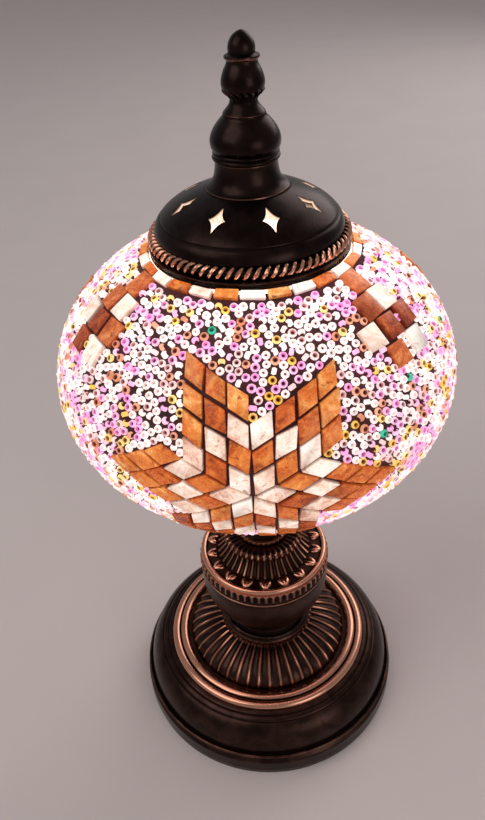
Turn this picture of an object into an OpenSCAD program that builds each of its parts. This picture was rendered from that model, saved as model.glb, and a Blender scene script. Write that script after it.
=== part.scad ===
// Mosaic glass table lamp: a stacked metal stand on a threaded tube, a blown glass globe
// set with glass tiles and seed beads, and a pierced cap with a turned finial.
// Millimetres, +Z up. The origin is the centre of the foot, on the table.

/* [Globe] */
// Outer diameter over the mosaic
globe_d = 180; // [150:1:216]
// Height of the globe's full oval over the mosaic
globe_h = 133.4; // [112:0.2:160]
// Thickness of tiles and grout on the glass
mosaic_t = 3.4; // [3:0.1:4.5]
// Thickness of the glass
glass_t = 2.2; // [1.6:0.1:3]
// Outer diameter of the neck that stands in the gallery cup
fitter_d = 58; // [48:1:68]
// Length of that neck
fitter_len = 19.5; // [17:0.5:24]

/* [Mosaic] */
// Share of its part of the equator that a star fills
star_share = 0.645; // [0.5:0.005:0.66]
// Tiles in the band under the cap
collar_tiles = 28; // [20:2:32]
// Tiles in the band above the gallery cup
lower_tiles = 20; // [16:2:24]
// Gap between neighbouring tiles
tile_gap = 1.3; // [0.8:0.1:2]
// Turn of the front star from the front, to the right
star_turn = -2; // [-10:0.5:10]

/* [Foot] */
// Diameter of the foot
foot_d = 151; // [130:1:182]
// Height of the foot's shoulder above the table
foot_h = 35; // [31:0.5:42]
// Wall of the spun and cast shells
wall = 1.6; // [1.2:0.1:2]
// Thickness of the felt under the foot
felt_t = 2; // [1:0.5:3]
// Thickness of the plate above the felt
plate_t = 1.5; // [1:0.5:2.5]
// Thickness of the iron weight
weight_t = 8; // [5:0.5:9]
// Outer diameter of the bright double ring
trim_d = 116; // [104:1:124]

/* [Stem] */
// Height of the fluted dome
dome_h = 14.2; // [12:0.2:20]
// Outer diameter of the fluted dome
dome_d = 93; // [84:1:96]
// Diameter of the smooth neck
neck_d = 45; // [40:1:50]
// Height of the smooth neck
neck_h = 16.8; // [14:0.2:24]
// Diameter of the knop
knop_d = 72; // [66:1:80]
// Height of the knop's bowl
knop_h = 37.5; // [32:0.5:46]
// Height of the knop's crown
crown_h = 17; // [14:0.5:22]
// Reeds round the knop's band
reeds = 58; // [40:2:66]
// Petals on the crown
crown_petals = 18; // [12:2:24]
// Height of the turned piece over the crown
spindle_h = 25.5; // [21:0.5:31]
// Depth of the gallery cup
cup_h = 18.5; // [16:0.5:21]
// Diameter of the threaded tube
tube_d = 10; // [9:0.5:12]
// Bore of the threaded tube
tube_bore = 7; // [6:0.5:8]

/* [Cap] */
// Diameter of the cap at its skirt
cap_d = 83; // [72:1:90]
// Height of the cap's dome above the rope ring
cap_dome_h = 16; // [13:0.5:20]
// Pierced openings round the cap
cap_holes = 8; // [4:1:10]
// Width of a pierced opening
cap_hole_w = 7; // [5:0.5:8]
// Height of a pierced opening
cap_hole_h = 11; // [8:0.5:12]
// Turn of the cap from the front, to the right
cap_turn = -4.5; // [-22.5:0.5:22.5]
// Height of the finial over the dome
finial_h = 55.8; // [45:0.2:66]

/* [Light] */
// Diameter of the bulb
bulb_d = 45; // [38:1:48]
// Length of the bulb with its cap
bulb_len = 73; // [66:1:84]
// Diameter of the bulb's screw cap
bulb_cap_d = 14; // [13:0.5:15]

/* [Inlet] */
// Bore of the cord inlet
inlet_bore = 7; // [6:0.5:8]

/* [Hidden] */
$fn = 96;

// Clearances
slip = 0.3;          // loose pieces on the tube and the rod
run = 0.05;          // radial clearance of a running fit
air = 0.3;           // between curved faces that face each other
nip = 0.1;           // under a piece that only rests

// Nuts and washers
nut_h = 5;
washer_t = 1.5;
tube_nut_w = 17;     // across the flats
rod_nut_w = 10;

// Heights of the stack, from the table up
foot_r = foot_d / 2;
shell_z = felt_t;
flange = 0.6;                        // how far the inlet bush's inner flange stands out
inlet_z = felt_t + plate_t + inlet_bore / 2 + 2.5;
dome_z = foot_h;
neck_z = dome_z + dome_h;
knop_z = neck_z + neck_h;
crown_z = knop_z + knop_h;
spindle_z = crown_z + crown_h;
cup_z = spindle_z + spindle_h;
tube_r = tube_d / 2;
hole_r = tube_r + slip;

// Gallery cup and its gasket
cup_wall = 1.4;
cup_floor = 1.6;
gasket_t = 1.5;
fitter_r = fitter_d / 2;
cup_r = fitter_r + 1.6 + cup_wall;
seat_z = cup_z + cup_floor + gasket_t + nip;
screw_r = 2;
screw_z = cup_z + 12;
boss_out = cup_r + 2.5;

// Globe: half axes of the mosaic's face and of the glass
mosaic_a = globe_d / 2;
mosaic_c = globe_h / 2;
glass_a = mosaic_a - mosaic_t;
glass_c = mosaic_c - mosaic_t;
glass_z = seat_z + fitter_len + glass_c * sqrt(1 - pow(fitter_r / glass_a, 2));
grout_t = 1.8;                       // bead and grout layer, under the faces of the tiles
tile_lift = grout_t + 0.7;           // underside of a tile, above the glass
cap_r = cap_d / 2;
lip_r = cap_r - 6.2;                 // glass lip inside the cap
lip_h = 4;
lip_z = glass_z + glass_c * sqrt(1 - pow(lip_r / glass_a, 2)) + lip_h;

// Star pattern, in millimetres of glass round the star's centre
stars = 3;
star_r = PI * mosaic_a / stars * star_share;
tile_step = star_r / norm([4 * cos(30), 2 + 3]);
star_lat = -0.7;
cluster_lat = 40;
cluster_az = [49, 175, -63];

// Cap: its own heights from the edge of the skirt
cap_wall = 1.2;
cap_gasket_t = 1.5;
skirt_h = 3.4;
rope_r = 2.5;
rope_h = 2 * rope_r + 0.4;
seat_up = 6;                         // underside of the seat ring above the skirt's edge
cap_z = lip_z + nip + cap_gasket_t - seat_up;
dome_foot = skirt_h + rope_h;
cap_top = cap_z + dome_foot + cap_dome_h;
rod_r = 3;
rod_hole = rod_r + slip;

// Lampholder and bulb
holder_z = cup_z + cup_floor + 8;
holder_r = 13.5;
holder_len = 40;
core_z = holder_z + 14;
core_t = 5;
bulb_z = core_z + core_t + 3.2;
bulb_cap_r = bulb_cap_d / 2;
bulb_r = bulb_d / 2;
sleeve_r = bulb_cap_r + run;
bulb_cap_len = 17;
tube_top = holder_z + 8;
tube_foot = dome_z - wall - 14;

// ---- Curves -------------------------------------------------------------------------------

// Points of a cubic curve through its four control points
function curve(p, n = 10) = [for (i = [0:n])
    let (t = i / n, u = 1 - t)
    u * u * u * p[0] + 3 * u * u * t * p[1] + 3 * u * t * t * p[2] + t * t * t * p[3]];

// Points of an arc about c, from angle a to angle b
function arc(c, r, a, b, n = 8) = [for (i = [0:n])
    let (w = a + (b - a) * i / n)
    c + r * [cos(w), sin(w)]];

// Outward normal of an outline that runs up the outside of a turned piece
function out(p, i) =
    let (q = p[min(i + 1, len(p) - 1)] - p[max(i - 1, 0)])
    [q[1], -q[0]] / norm(q);

// A piece turned from an outline given above height z
module turned(z, points) {
    translate([0, 0, z]) rotate_extrude() polygon(points);
}

// A ring with square edges
module ring(z, r_in, r_out, h) {
    turned(z, [[r_in, 0], [r_out, 0], [r_out, h], [r_in, h]]);
}

// A disc with a hole for the tube
module drilled(z, r, h) {
    ring(z, hole_r, r, h);
}

// Outline of a toothed wheel with n square teeth
function teeth(n, r_root, r_tip) = [for (i = [0:n - 1], k = [0:3])
    let (a = 360 / n * (i + [0, 0.12, 0.5, 0.62][k]), r = (k == 1 || k == 2) ? r_tip : r_root)
    r * [cos(a), sin(a)]];

// A hexagon nut of width w across its flats
module nut(z, w, h, r_hole) {
    translate([0, 0, z]) difference() {
        cylinder(d = w / cos(30), h = h, $fn = 6);
        translate([0, 0, -1]) cylinder(r = r_hole, h = h + 2);
    }
}

// ---- Foot ---------------------------------------------------------------------------------

band_h = 9.5;                        // flat band at the foot's edge
bead_z = 12.6;                       // middle of the rolled edge over it
shell_h = foot_h - felt_t;
shell_in = foot_r - 3 - wall;        // inside of the shell up to the rolled edge
bush_wall = 1.15;

// Where the band's rolled edge and the shoulder meet, above shell_z
split_h = bead_z + 0.75;
split_r = foot_r - 2.3;

// Flat band round the foot with a rolled edge, and the hole for the cord's bush
module foot_band() {
    color("#3a211a") difference() {
        turned(shell_z, concat([[foot_r, 0], [foot_r, band_h]],
            curve([[foot_r - 1.2, band_h + 1], [foot_r - 1.9, band_h + 1.5],
                [foot_r - 2, bead_z - 0.9], [foot_r - 1.2, bead_z - 0.5]], 4),
            arc([foot_r - 1.5, bead_z + 0.3], 0.9, -30, 145, 6),
            [[split_r, split_h], [shell_in, split_h], [shell_in, 0]]));
        translate([0, shell_in - 2, inlet_z]) rotate([-90, 0, 0])
            cylinder(r = inlet_bore / 2 + bush_wall + run, h = 10);
    }
}

// Spun shoulder and deck on the band
module foot_shoulder() {
    lift = shell_h - wall;
    color("#3a211a") turned(shell_z, concat([[shell_in, split_h], [split_r, split_h]],
        curve([[foot_r - 3, bead_z + 1.6], [foot_r - 4, shell_h - 6], [trim_d / 2 + 7, shell_h - 1.6],
            [trim_d / 2 + 0.6, shell_h]], 12),
        [[hole_r, shell_h], [hole_r, lift]],
        curve([[trim_d / 2, lift], [trim_d / 2 + 5, lift - 1], [shell_in - 2, shell_h - 8],
            [shell_in, split_h + 1]], 8)));
}

module felt_pad() {
    color("#1d1a18") ring(0, 12, foot_r - 0.6, felt_t);
}

module base_plate() {
    color("#6e6a66") ring(felt_t, 14, shell_in - slip, plate_t);
}

module weight_disc() {
    z = felt_t + plate_t;
    color("#4a4846") difference() {
        ring(z, 16, foot_r - 14, weight_t);
        translate([-6, 14, z - 1]) cube([12, foot_r, weight_t + 2]);
    }
}

// Rubber bush in the foot's rear wall: a flange each side of the wall and a bore through both
module cord_grommet() {
    bush_r = inlet_bore / 2 + bush_wall;
    inside = shell_in - air;
    color("#151414") translate([0, 0, inlet_z]) rotate([-90, 0, 0]) rotate_extrude()
        polygon([[inlet_bore / 2, inside - 2], [bush_r + flange, inside - 2],
            [bush_r + flange, inside - 0.2], [bush_r, inside], [bush_r, foot_r + run],
            [bush_r + 1.6, foot_r + run], [bush_r + 1.6, foot_r + 1.3], [bush_r + 0.9, foot_r + 2],
            [inlet_bore / 2, foot_r + 2]]);
}

module lower_washer() {
    color("#8a8580") drilled(dome_z - wall - washer_t, 14, washer_t);
}

module lower_nut() {
    color("#8a8580") nut(dome_z - wall - washer_t - nut_h, tube_nut_w, nut_h, tube_r);
}

module stem_tube() {
    color("#a09a90") ring(tube_foot, tube_bore / 2, tube_r, tube_top - tube_foot);
}

// Two rolled beads side by side, flat underneath
module trim_ring() {
    bead_r = 2.5;
    outer = trim_d / 2 - bead_r;
    inner = outer - 4.7;
    color("#b06a4a") translate([0, 0, dome_z]) rotate_extrude() intersection() {
        translate([dome_d / 2, 0]) square([trim_d, 2 * bead_r]);
        union() {
            translate([inner, 0.5]) circle(r = bead_r + 0.3, $fn = 48);
            translate([outer, 0.2]) circle(r = bead_r, $fn = 48);
        }
    }
}

// ---- Stem ---------------------------------------------------------------------------------

dome_r = dome_d / 2 - 0.3;
dome_top_r = neck_d / 2 + 4.6;
dome_line = curve([[dome_r, 0], [dome_r - 0.6, dome_h * 0.55], [dome_top_r + 9, dome_h * 0.86],
    [dome_top_r, dome_h]], 10);

module fluted_dome() {
    last = len(dome_line) - 1;
    color("#3a211a") turned(dome_z, concat(dome_line, [[hole_r, dome_h], [hole_r, dome_h - wall]],
        [for (i = [last:-1:1]) dome_line[i] - wall * out(dome_line, i) - [i == last ? 1 : 0, 0]],
        [[dome_r - wall, 0]]));
}

// Smooth waist, open underneath
module stem_neck() {
    r = neck_d / 2;
    line = concat([[r + 3.4, 0], [r + 3.4, 2.2]],
        arc([r + 1.3, 3.9], 1.4, -30, 120, 6),
        curve([[r - 0.2, 6.2], [r - 1.2, neck_h * 0.55], [r - 0.6, neck_h * 0.8],
            [r + 2, neck_h]], 8));
    color("#33201b") turned(neck_z, concat(line,
        [[hole_r, neck_h], [hole_r, neck_h - 2], [r - 3.4, neck_h - 2], [r - 3.4, 0]]));
}

knop_r = knop_d / 2;
knop_foot_r = neck_d / 2 + 3.5;
reed_h = 6.5;

// Round bowl with a reeded band under its rim
module knop_bowl() {
    band_r = knop_r - 0.9;
    line = curve([[knop_foot_r, 0], [knop_r - 1.5, knop_h * 0.17], [knop_r + 0.3, knop_h * 0.52],
        [band_r, knop_h - reed_h - 1.8]], 12);
    color("#3a211a") union() {
        turned(knop_z, concat([[hole_r, 0]], line, [[band_r, knop_h]],
            [[band_r - wall, knop_h]],
            [for (i = [len(line) - 1:-1:1]) line[i] - wall * out(line, i)],
            [[knop_foot_r - 1, 2], [hole_r, 2]]));
        translate([0, 0, knop_z + knop_h - reed_h - 0.6]) linear_extrude(reed_h)
            difference() {
                polygon(teeth(reeds, band_r - 0.2, knop_r));
                circle(r = band_r - 0.5);
            }
    }
}

crown_r = knop_r - 2;
crown_flat = 1.9;
crown_top_r = 19.5;

// A petal: two round lobes and a point that faces the rim
module petal_outline(s) {
    for (side = [-1, 1]) translate([-0.35 * s, side * 0.24 * s]) circle(r = 0.27 * s, $fn = 20);
    polygon([[-0.4 * s, -0.5 * s], [0.6 * s, 0], [-0.4 * s, 0.5 * s]]);
}

// Cover of the knop: bead, ring of petals, slope and a round bead on top
module knop_crown() {
    slope_r = crown_r - 8.2;
    slope = curve([[slope_r, crown_flat], [slope_r - 3.2, crown_flat + 3.4],
        [crown_top_r + 0.4, crown_h * 0.5], [crown_top_r, crown_h - 5.4]], 10);
    color("#3a211a") union() {
        turned(crown_z, concat([[crown_r + 0.8, 0]],
            arc([crown_r - 0.6, 1.5], 1.4, -30, 150, 8),
            [[crown_r - 2.4, crown_flat]], slope,
            arc([crown_top_r - 0.2, crown_h - 3.2], 2.1, -70, 90, 8),
            [[hole_r, crown_h - 1.1], [hole_r, crown_h - 3], [crown_top_r - 3.5, crown_h - 3]],
            [for (i = [len(slope) - 2:-1:1]) slope[i] - wall * out(slope, i)],
            [[slope_r, 0]]));
        for (i = [0:crown_petals - 1]) rotate([0, 0, 360 / crown_petals * i])
            translate([crown_r - 5.4, 0, crown_z + crown_flat - 0.4]) linear_extrude(1.3)
                petal_outline(4.4);
    }
}

// Turned piece between the crown and the gallery cup
module spindle() {
    h = spindle_h;
    color("#3a211a") turned(spindle_z - 1.1, concat([[hole_r, 0], [14, 0], [14, 2]],
        curve([[13, 2.6], [9.5, 3.4], [9.2, h * 0.45], [11.5, h * 0.55]], 6),
        arc([11.2, h * 0.62], 1.6, -60, 90, 6),
        curve([[10.4, h * 0.74], [10.4, h * 0.84], [13, h * 0.97], [17, h + 1.1]], 6),
        [[hole_r, h + 1.1]]));
}

// ---- Gallery cup --------------------------------------------------------------------------

module gallery_cup() {
    color("#3a211a") difference() {
        union() {
            turned(cup_z, concat([[hole_r, 0], [18, 0]],
                curve([[cup_r - 6, 0], [cup_r - 2, 0], [cup_r, 1.2], [cup_r, 4]], 8),
                [[cup_r, cup_h - 1.2], [cup_r + 0.9, cup_h - 0.6], [cup_r + 0.9, cup_h],
                    [cup_r - cup_wall, cup_h]],
                curve([[cup_r - cup_wall, 4], [cup_r - cup_wall, 2.2],
                    [cup_r - cup_wall - 0.4, cup_floor], [cup_r - cup_wall - 1, cup_floor]], 6),
                [[hole_r, cup_floor]]));
            for (az = [60, 180, 300]) screw_axis(az) translate([0, 0, cup_r - 0.7])
                cylinder(r = 4.2, h = boss_out - cup_r + 0.7, $fn = 48);
        }
        for (az = [60, 180, 300]) screw_axis(az) translate([0, 0, cup_r - 6])
            cylinder(r = screw_r + run, h = 12, $fn = 48);
    }
}

// Places its children on a screw's axis, +Z outwards, az degrees to the right of the front
module screw_axis(az) {
    translate([0, 0, screw_z]) rotate([0, 0, az - 90]) rotate([0, 90, 0]) children();
}

// Thumb screw that grips the neck of the glass
module gallery_screw(az) {
    head = boss_out + 1.2;
    color("#a08050") screw_axis(az) union() {
        translate([0, 0, fitter_r + air])
            cylinder(r = screw_r, h = head - fitter_r - air + 0.5, $fn = 48);
        translate([0, 0, head]) linear_extrude(4) polygon(teeth(12, 3.7, 4.2));
    }
}

module gallery_gasket() {
    color("#4a3b30") ring(cup_z + cup_floor, fitter_r - 4.5, fitter_r + 0.4, gasket_t);
}

module gallery_nut() {
    color("#8a8580") nut(cup_z + cup_floor, tube_nut_w, nut_h, tube_r);
}

// ---- Lampholder ---------------------------------------------------------------------------

module holder_shell() {
    t = 1.8;
    color("#e8e2d4") turned(holder_z, [[tube_r, 0], [9, 0], [9, 3], [holder_r - 1, 5], [holder_r, 7],
        [holder_r, holder_len], [holder_r - t, holder_len], [holder_r - t, 8], [8, 5], [8, 8.5],
        [tube_r, 8.5]]);
}

module holder_ring() {
    z = holder_z + holder_len - 9;
    color("#e8e2d4") turned(z, [[holder_r + 0.02, 0], [holder_r + 2, 0], [holder_r + 2, 5],
        [holder_r + 0.8, 6.5], [holder_r + 0.02, 6.5]]);
}

module holder_insulator() {
    r = holder_r - 1.8 - 0.1;
    color("#f4f0e6") difference() {
        ring(core_z, 2.2, r, core_t);
        for (side = [-1, 1]) translate([side * 7.6, 0, core_z - 1])
            cylinder(r = 1.55, h = core_t + 2);
        for (side = [-1, 1]) translate([-1.2, side * 6.4 - 1.2, core_z - 1])
            cube([2.4, 2.4, core_t + 2]);
    }
}

// Brass thread sleeve that the bulb's cap turns in, with two tails through the insulator
module holder_sleeve() {
    z = core_z + core_t;
    color("#c9a050") union() {
        turned(z, [[4.5, 0], [sleeve_r + 1, 0], [sleeve_r + 1, 18], [sleeve_r + 1.6, 18.6],
            [sleeve_r + 1, 19], [sleeve_r, 19], [sleeve_r, 0.8], [4.5, 0.8]]);
        for (side = [-1, 1]) translate([-0.8, side * 6.4 - 0.4, core_z - 4])
            cube([1.6, 0.8, core_t + 4.4]);
    }
}

// Rivet and spring tongue under the bulb's tip
module holder_contact() {
    z = core_z + core_t;
    color("#c9a050") union() {
        translate([0, 0, core_z - 4]) cylinder(r = 2.2, h = core_t + 4.2, $fn = 48);
        translate([-1.6, -3.2, z + 0.2]) cube([3.2, 6.4, 0.5]);
        translate([-1.6, -3.2, z + 0.2]) cube([3.2, 0.6, 2]);
        translate([-1.6, -3.2, z + 1.7]) cube([3.2, 5, 0.5]);
    }
}

module holder_terminals() {
    color("#b8b2a8") for (side = [-1, 1]) translate([side * 7.6, 0, core_z - 4]) union() {
        cylinder(r = 1.5, h = core_t + 3, $fn = 32);
        difference() {
            cylinder(r = 2.6, h = 2, $fn = 32);
            translate([-3, -0.4, -1]) cube([6, 0.8, 1.7]);
        }
    }
}

// ---- Bulb ---------------------------------------------------------------------------------

module bulb_cap() {
    r = bulb_cap_r;
    color("#d8d4c8") turned(bulb_z, [[r - 2.2, 0.6], [r - 1.2, 0.6], [r, 2.4], [r, bulb_cap_len],
        [r - 0.4, bulb_cap_len], [r - 0.4, 2.6], [r - 1.4, 1], [r - 2.2, 1]]);
}

module bulb_insulator() {
    r = bulb_cap_r - 2.3;
    color("#181818") turned(bulb_z, [[1.8, -0.6], [r, 0.2], [r, 3], [1.8, 3]]);
}

module bulb_tip() {
    color("#c8c4b8") turned(bulb_z, [[0, -0.9], [1.4, -0.9], [1.75, -0.5], [1.75, 2], [0, 2]]);
}

glass_foot = 5;
ball_z = bulb_len - bulb_r - 0.9;

module bulb_glass() {
    r = bulb_cap_r - 0.5;
    t = 0.9;
    line = concat([[r, glass_foot], [r, bulb_cap_len + 1]],
        curve([[r + 0.1, bulb_cap_len + 3], [r + 0.8, ball_z - bulb_r * 0.95],
            [bulb_r * 0.66, ball_z - bulb_r * 0.86], [bulb_r * cos(32), ball_z - bulb_r * sin(32)]], 8),
        arc([0, ball_z], bulb_r, -26, 84, 20));
    color("#fff2d8") turned(bulb_z, concat(line, [[0, ball_z + bulb_r], [0, ball_z + bulb_r - t]],
        [for (i = [len(line) - 1:-1:0]) line[i] - t * out(line, i)]));
}

// Glass foot that carries the filaments
module bulb_stem() {
    color("#e8eef0") turned(bulb_z, concat([[0, glass_foot], [bulb_cap_r - 1.7, glass_foot],
        [bulb_cap_r - 1.7, glass_foot + 1.4]],
        curve([[4.4, glass_foot + 3], [2.4, glass_foot + 6], [2, 20], [2, 26]], 6), [[0, 26.6]]));
}

// Four glowing sticks round the stem, each on its lead
module bulb_filaments() {
    color("#ffd890") for (i = [0:3]) rotate([0, 0, 90 * i + 45])
        translate([4.6, 0, bulb_z + 24]) rotate([0, 7, 0]) cylinder(r = 0.9, h = 28, $fn = 24);
}

// ---- Globe --------------------------------------------------------------------------------

// Angle up the oval at which it has radius r
function lat_at(r, a) = acos(r / a);

// Outline points of an oval between two angles up it
function oval_part(a, c, t0, t1, n) = [for (i = [0:n])
    let (t = t0 + (t1 - t0) * i / n)
    [a * cos(t), c * sin(t)]];

// Outline points of an oval from radius r0 below the middle to radius r1 above it
function oval(a, c, r0, r1, n) = oval_part(a, c, -lat_at(r0, a), lat_at(r1, a), n);

// The glass is one blown piece, given as five rings that meet face to face at these angles
low_cut = 45;
mid_cut = 15;
in_a = glass_a - glass_t;
in_c = glass_c - glass_t;

module glass_ring(outline) {
    color([0.95, 0.93, 0.9, 0.35]) turned(glass_z, outline);
}

// Ring of the oval between two angles up it
module glass_band(t0, t1) {
    glass_ring(concat(oval_part(glass_a, glass_c, t0, t1, 12), oval_part(in_a, in_c, t1, t0, 12)));
}

// Straight neck with the bottom of the bowl
module globe_neck() {
    foot = seat_z - glass_z;
    glass_ring(concat([[fitter_r, foot]],
        oval_part(glass_a, glass_c, -lat_at(fitter_r, glass_a), -low_cut, 12),
        oval_part(in_a, in_c, -low_cut, -lat_at(fitter_r - glass_t, in_a), 12),
        [[fitter_r - glass_t, foot]]));
}

module globe_bowl() {
    glass_band(-low_cut, -mid_cut);
}

module globe_belly() {
    glass_band(-mid_cut, mid_cut);
}

module globe_shoulder() {
    glass_band(mid_cut, low_cut);
}

// Top of the globe with the straight lip of its opening
module globe_lip() {
    rim = lip_z - glass_z;
    glass_ring(concat(oval_part(glass_a, glass_c, low_cut, lat_at(lip_r, glass_a), 12),
        [[lip_r, rim], [lip_r - glass_t, rim]],
        oval_part(in_a, in_c, lat_at(lip_r - glass_t, in_a), low_cut, 12)));
}

// Grout with the seed beads bedded in it, one thin skin over the glass
module bead_layer() {
    r0 = cup_r + 1.6;
    r1 = cap_r + 1;
    inner = oval(glass_a + air, glass_c + air, r0, r1, 40);
    color("#c890a8") turned(glass_z, concat(
        oval(glass_a + grout_t, glass_c + grout_t, r0, r1, 40),
        [for (i = [len(inner) - 1:-1:0]) inner[i]]));
}

// Point of the globe at az degrees right of the front and lat degrees up the oval
function on_globe(az, lat, h) = [(glass_a + h) * cos(lat) * sin(az),
    -(glass_a + h) * cos(lat) * cos(az), glass_z + (glass_c + h) * sin(lat)];

// Direction [az, lat] of a point [x, y] of a flat pattern wrapped on the oval about [az0, lat0]
function wrapped(p, az0, lat0) =
    let (
        u = p[0] / mosaic_a,
        v = p[1] / (1.05 * mosaic_c),
        far = norm([u, v]) * 180 / PI,
        s = sin(far) / max(norm([u, v]), 0.000001),
        lat = asin(cos(far) * sin(lat0) + s * v * cos(lat0)),
        east = s * u,
        north = cos(far) * cos(lat0) - s * v * sin(lat0)
    )
    [az0 + atan2(east, north), lat];

TILE_FACES = [[0, 1, 2], [0, 2, 3], [7, 6, 5], [7, 5, 4], [4, 5, 1], [4, 1, 0], [5, 6, 2],
    [5, 2, 1], [6, 7, 3], [6, 3, 2], [7, 4, 0], [7, 0, 3]];

// One tile from its four corners as [az, lat], counter-clockwise from outside
module tile(corners) {
    polyhedron(points = concat([for (q = corners) on_globe(q[0], q[1], tile_lift)],
        [for (q = corners) on_globe(q[0], q[1], mosaic_t)]), faces = TILE_FACES);
}

// Tiles of one colour in a star: six points, each a grid of rhombs 4 by 3, coloured by ring
module star_tiles(az0, white) {
    cut = tile_gap / 2 / sin(60) / tile_step;
    for (k = [0:5], i = [0:3], j = [0:2]) {
        e = tile_step * [cos(60 * k - 30), sin(60 * k - 30)];
        f = tile_step * [cos(60 * k + 30), sin(60 * k + 30)];
        pale = (i + j == 0) || (i + j == 2);
        if (pale == white) tile([for (q = [[i + cut, j + cut], [i + 1 - cut, j + cut],
            [i + 1 - cut, j + 1 - cut], [i + cut, j + 1 - cut]])
            wrapped(q[0] * e + q[1] * f, az0, star_lat)]);
    }
}

// Shoulder cluster: rows of square tiles as [x, y, pale], in tiles
CLUSTER = [[0.2, 1.9, false], [-0.32, 0.95, false], [0.72, 0.97, true], [-1.12, 0.02, true],
    [0, 0, false], [1.12, 0.04, false], [-0.42, -1, false], [0.86, -0.96, true]];

module cluster_tiles(az0, white) {
    half = (tile_step - tile_gap) / 2;
    for (t = CLUSTER) if (t[2] == white)
        tile([for (q = [[-1, -1], [1, -1], [1, 1], [-1, 1]])
            wrapped(tile_step * [t[0], t[1]] + half * q, az0, cluster_lat)]);
}

// Every second tile of a band between the radii r0 and r1, above (up = 1) or below the middle
module band_tiles(n, first, r0, r1, up) {
    a = mosaic_a;
    lats = [for (r = [r0, r1]) up * lat_at(r, a)];
    low = min(lats);
    high = max(lats);
    half = 180 / n - tile_gap / 2 / min(r0, r1) * 180 / PI;
    for (i = [first:2:n - 1]) {
        mid = 360 / n * i;
        tile([[mid - half, low], [mid + half, low], [mid + half, high], [mid - half, high]]);
    }
}

pale = "#f2e4d4";
amber = "#c8642c";

module star_tiles_white() {
    color(pale) for (s = [0:stars - 1]) star_tiles(star_turn + 360 / stars * s, true);
}

module star_tiles_amber() {
    color(amber) for (s = [0:stars - 1]) star_tiles(star_turn + 360 / stars * s, false);
}

module cluster_tiles_white() {
    color(pale) for (az = cluster_az) cluster_tiles(az, true);
}

module cluster_tiles_amber() {
    color(amber) for (az = cluster_az) cluster_tiles(az, false);
}

module collar_tiles_white() {
    color(pale) band_tiles(collar_tiles, 0, cap_r + 1.3, cap_r + 4.7, 1);
}

module collar_tiles_amber() {
    color(amber) band_tiles(collar_tiles, 1, cap_r + 1.3, cap_r + 4.7, 1);
}

module lower_tiles_white() {
    color(pale) band_tiles(lower_tiles, 0, cup_r + 2.2, cup_r + 11, -1);
}

module lower_tiles_amber() {
    color(amber) band_tiles(lower_tiles, 1, cup_r + 2.2, cup_r + 11, -1);
}

// ---- Cap ----------------------------------------------------------------------------------

cap_line = curve([[cap_r - 2.7, dome_foot], [cap_r - 3, dome_foot + cap_dome_h * 0.36],
    [cap_r - 11, dome_foot + cap_dome_h * 0.7], [17, dome_foot + cap_dome_h]], 14);

// Outline of a pierced opening: four concave sides that meet in rounded tips
module opening_outline() {
    w = cap_hole_w / 2;
    h = cap_hole_h / 2;
    tip = 0.9;
    polygon([for (a = [0:15:345]) [(w - tip / 2) * sign(cos(a)) * pow(abs(cos(a)), 2.1),
        (h - tip) * sign(sin(a)) * pow(abs(sin(a)), 2.1)]]);
    for (side = [-1, 1]) translate([0, side * (h - tip)]) circle(r = tip, $fn = 24);
    for (side = [-1, 1]) translate([side * (w - 0.7), 0]) circle(r = 0.7, $fn = 24);
    square([w, 0.6 * h], center = true);
}

module cap_dome() {
    recess_r = cap_r - 2 * rope_r + 0.6;
    flat = [rod_hole, dome_foot + cap_dome_h];
    color("#2c1a16") difference() {
        turned(cap_z, concat(
            [[cap_r - cap_wall, 0], [cap_r, 0], [cap_r, skirt_h - 0.6], [cap_r - 0.8, skirt_h]],
            [[recess_r, skirt_h], [recess_r, dome_foot]],
            cap_line, [flat, flat - [0, cap_wall]],
            [for (i = [len(cap_line) - 1:-1:1]) cap_line[i] - cap_wall * out(cap_line, i)],
            [[recess_r - cap_wall, dome_foot + 0.6], [recess_r - cap_wall, skirt_h - cap_wall],
                [cap_r - cap_wall, skirt_h - cap_wall]]));
        for (i = [0:cap_holes - 1]) rotate([0, 0, cap_turn + 360 / cap_holes * (i + 0.5) - 90])
            translate([cap_r - 15, 0, cap_z + dome_foot + cap_dome_h * 0.74]) rotate([0, 31, 0])
                rotate([0, 0, 90]) translate([0, 0, -6]) linear_extrude(14) opening_outline();
    }
}

// Ring of twisted wire in the recess over the skirt
module cap_rope_ring() {
    r = cap_r - rope_r + 0.2;
    color("#a86848") translate([0, 0, cap_z + skirt_h + 0.2 + rope_r]) rotate_extrude()
        intersection() {
            translate([r, 0]) circle(r = rope_r, $fn = 48);
            translate([cap_r - 2 * rope_r + 0.65, -rope_r]) square([2 * rope_r, 2 * rope_r]);
        }
}

// Ring with a spigot that drops into the glass opening
module cap_seat_ring() {
    r_out = cap_r - 2 * rope_r + 0.6 - cap_wall - 0.05;
    spigot = lip_r - glass_t - 1.2;
    color("#8a8580") turned(cap_z + seat_up, [[spigot - 1.2, -8], [spigot, -8], [spigot, 0],
        [r_out, 0], [r_out, 1.2], [spigot - 1.2, 1.2]]);
}

module cap_gasket() {
    color("#4a3b30") ring(cap_z + seat_up - cap_gasket_t, lip_r - glass_t - 0.4,
        lip_r - 0.2, cap_gasket_t);
}

module finial_washer() {
    color("#8a8580") ring(cap_top - cap_wall - washer_t, rod_hole, 8, washer_t);
}

module finial_nut() {
    color("#8a8580") nut(cap_top - cap_wall - washer_t - nut_h, rod_nut_w, nut_h, rod_r);
}

// ---- Finial -------------------------------------------------------------------------------

foot_part = 0.2 * finial_h;
bell_part = 0.295 * finial_h;
bead_part = 0.33 * finial_h;
tip_part = finial_h - foot_part - bell_part - bead_part;
bell_z = cap_top + foot_part;
bead_top_z = bell_z + bell_part;
tip_z = bead_top_z + bead_part;

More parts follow.
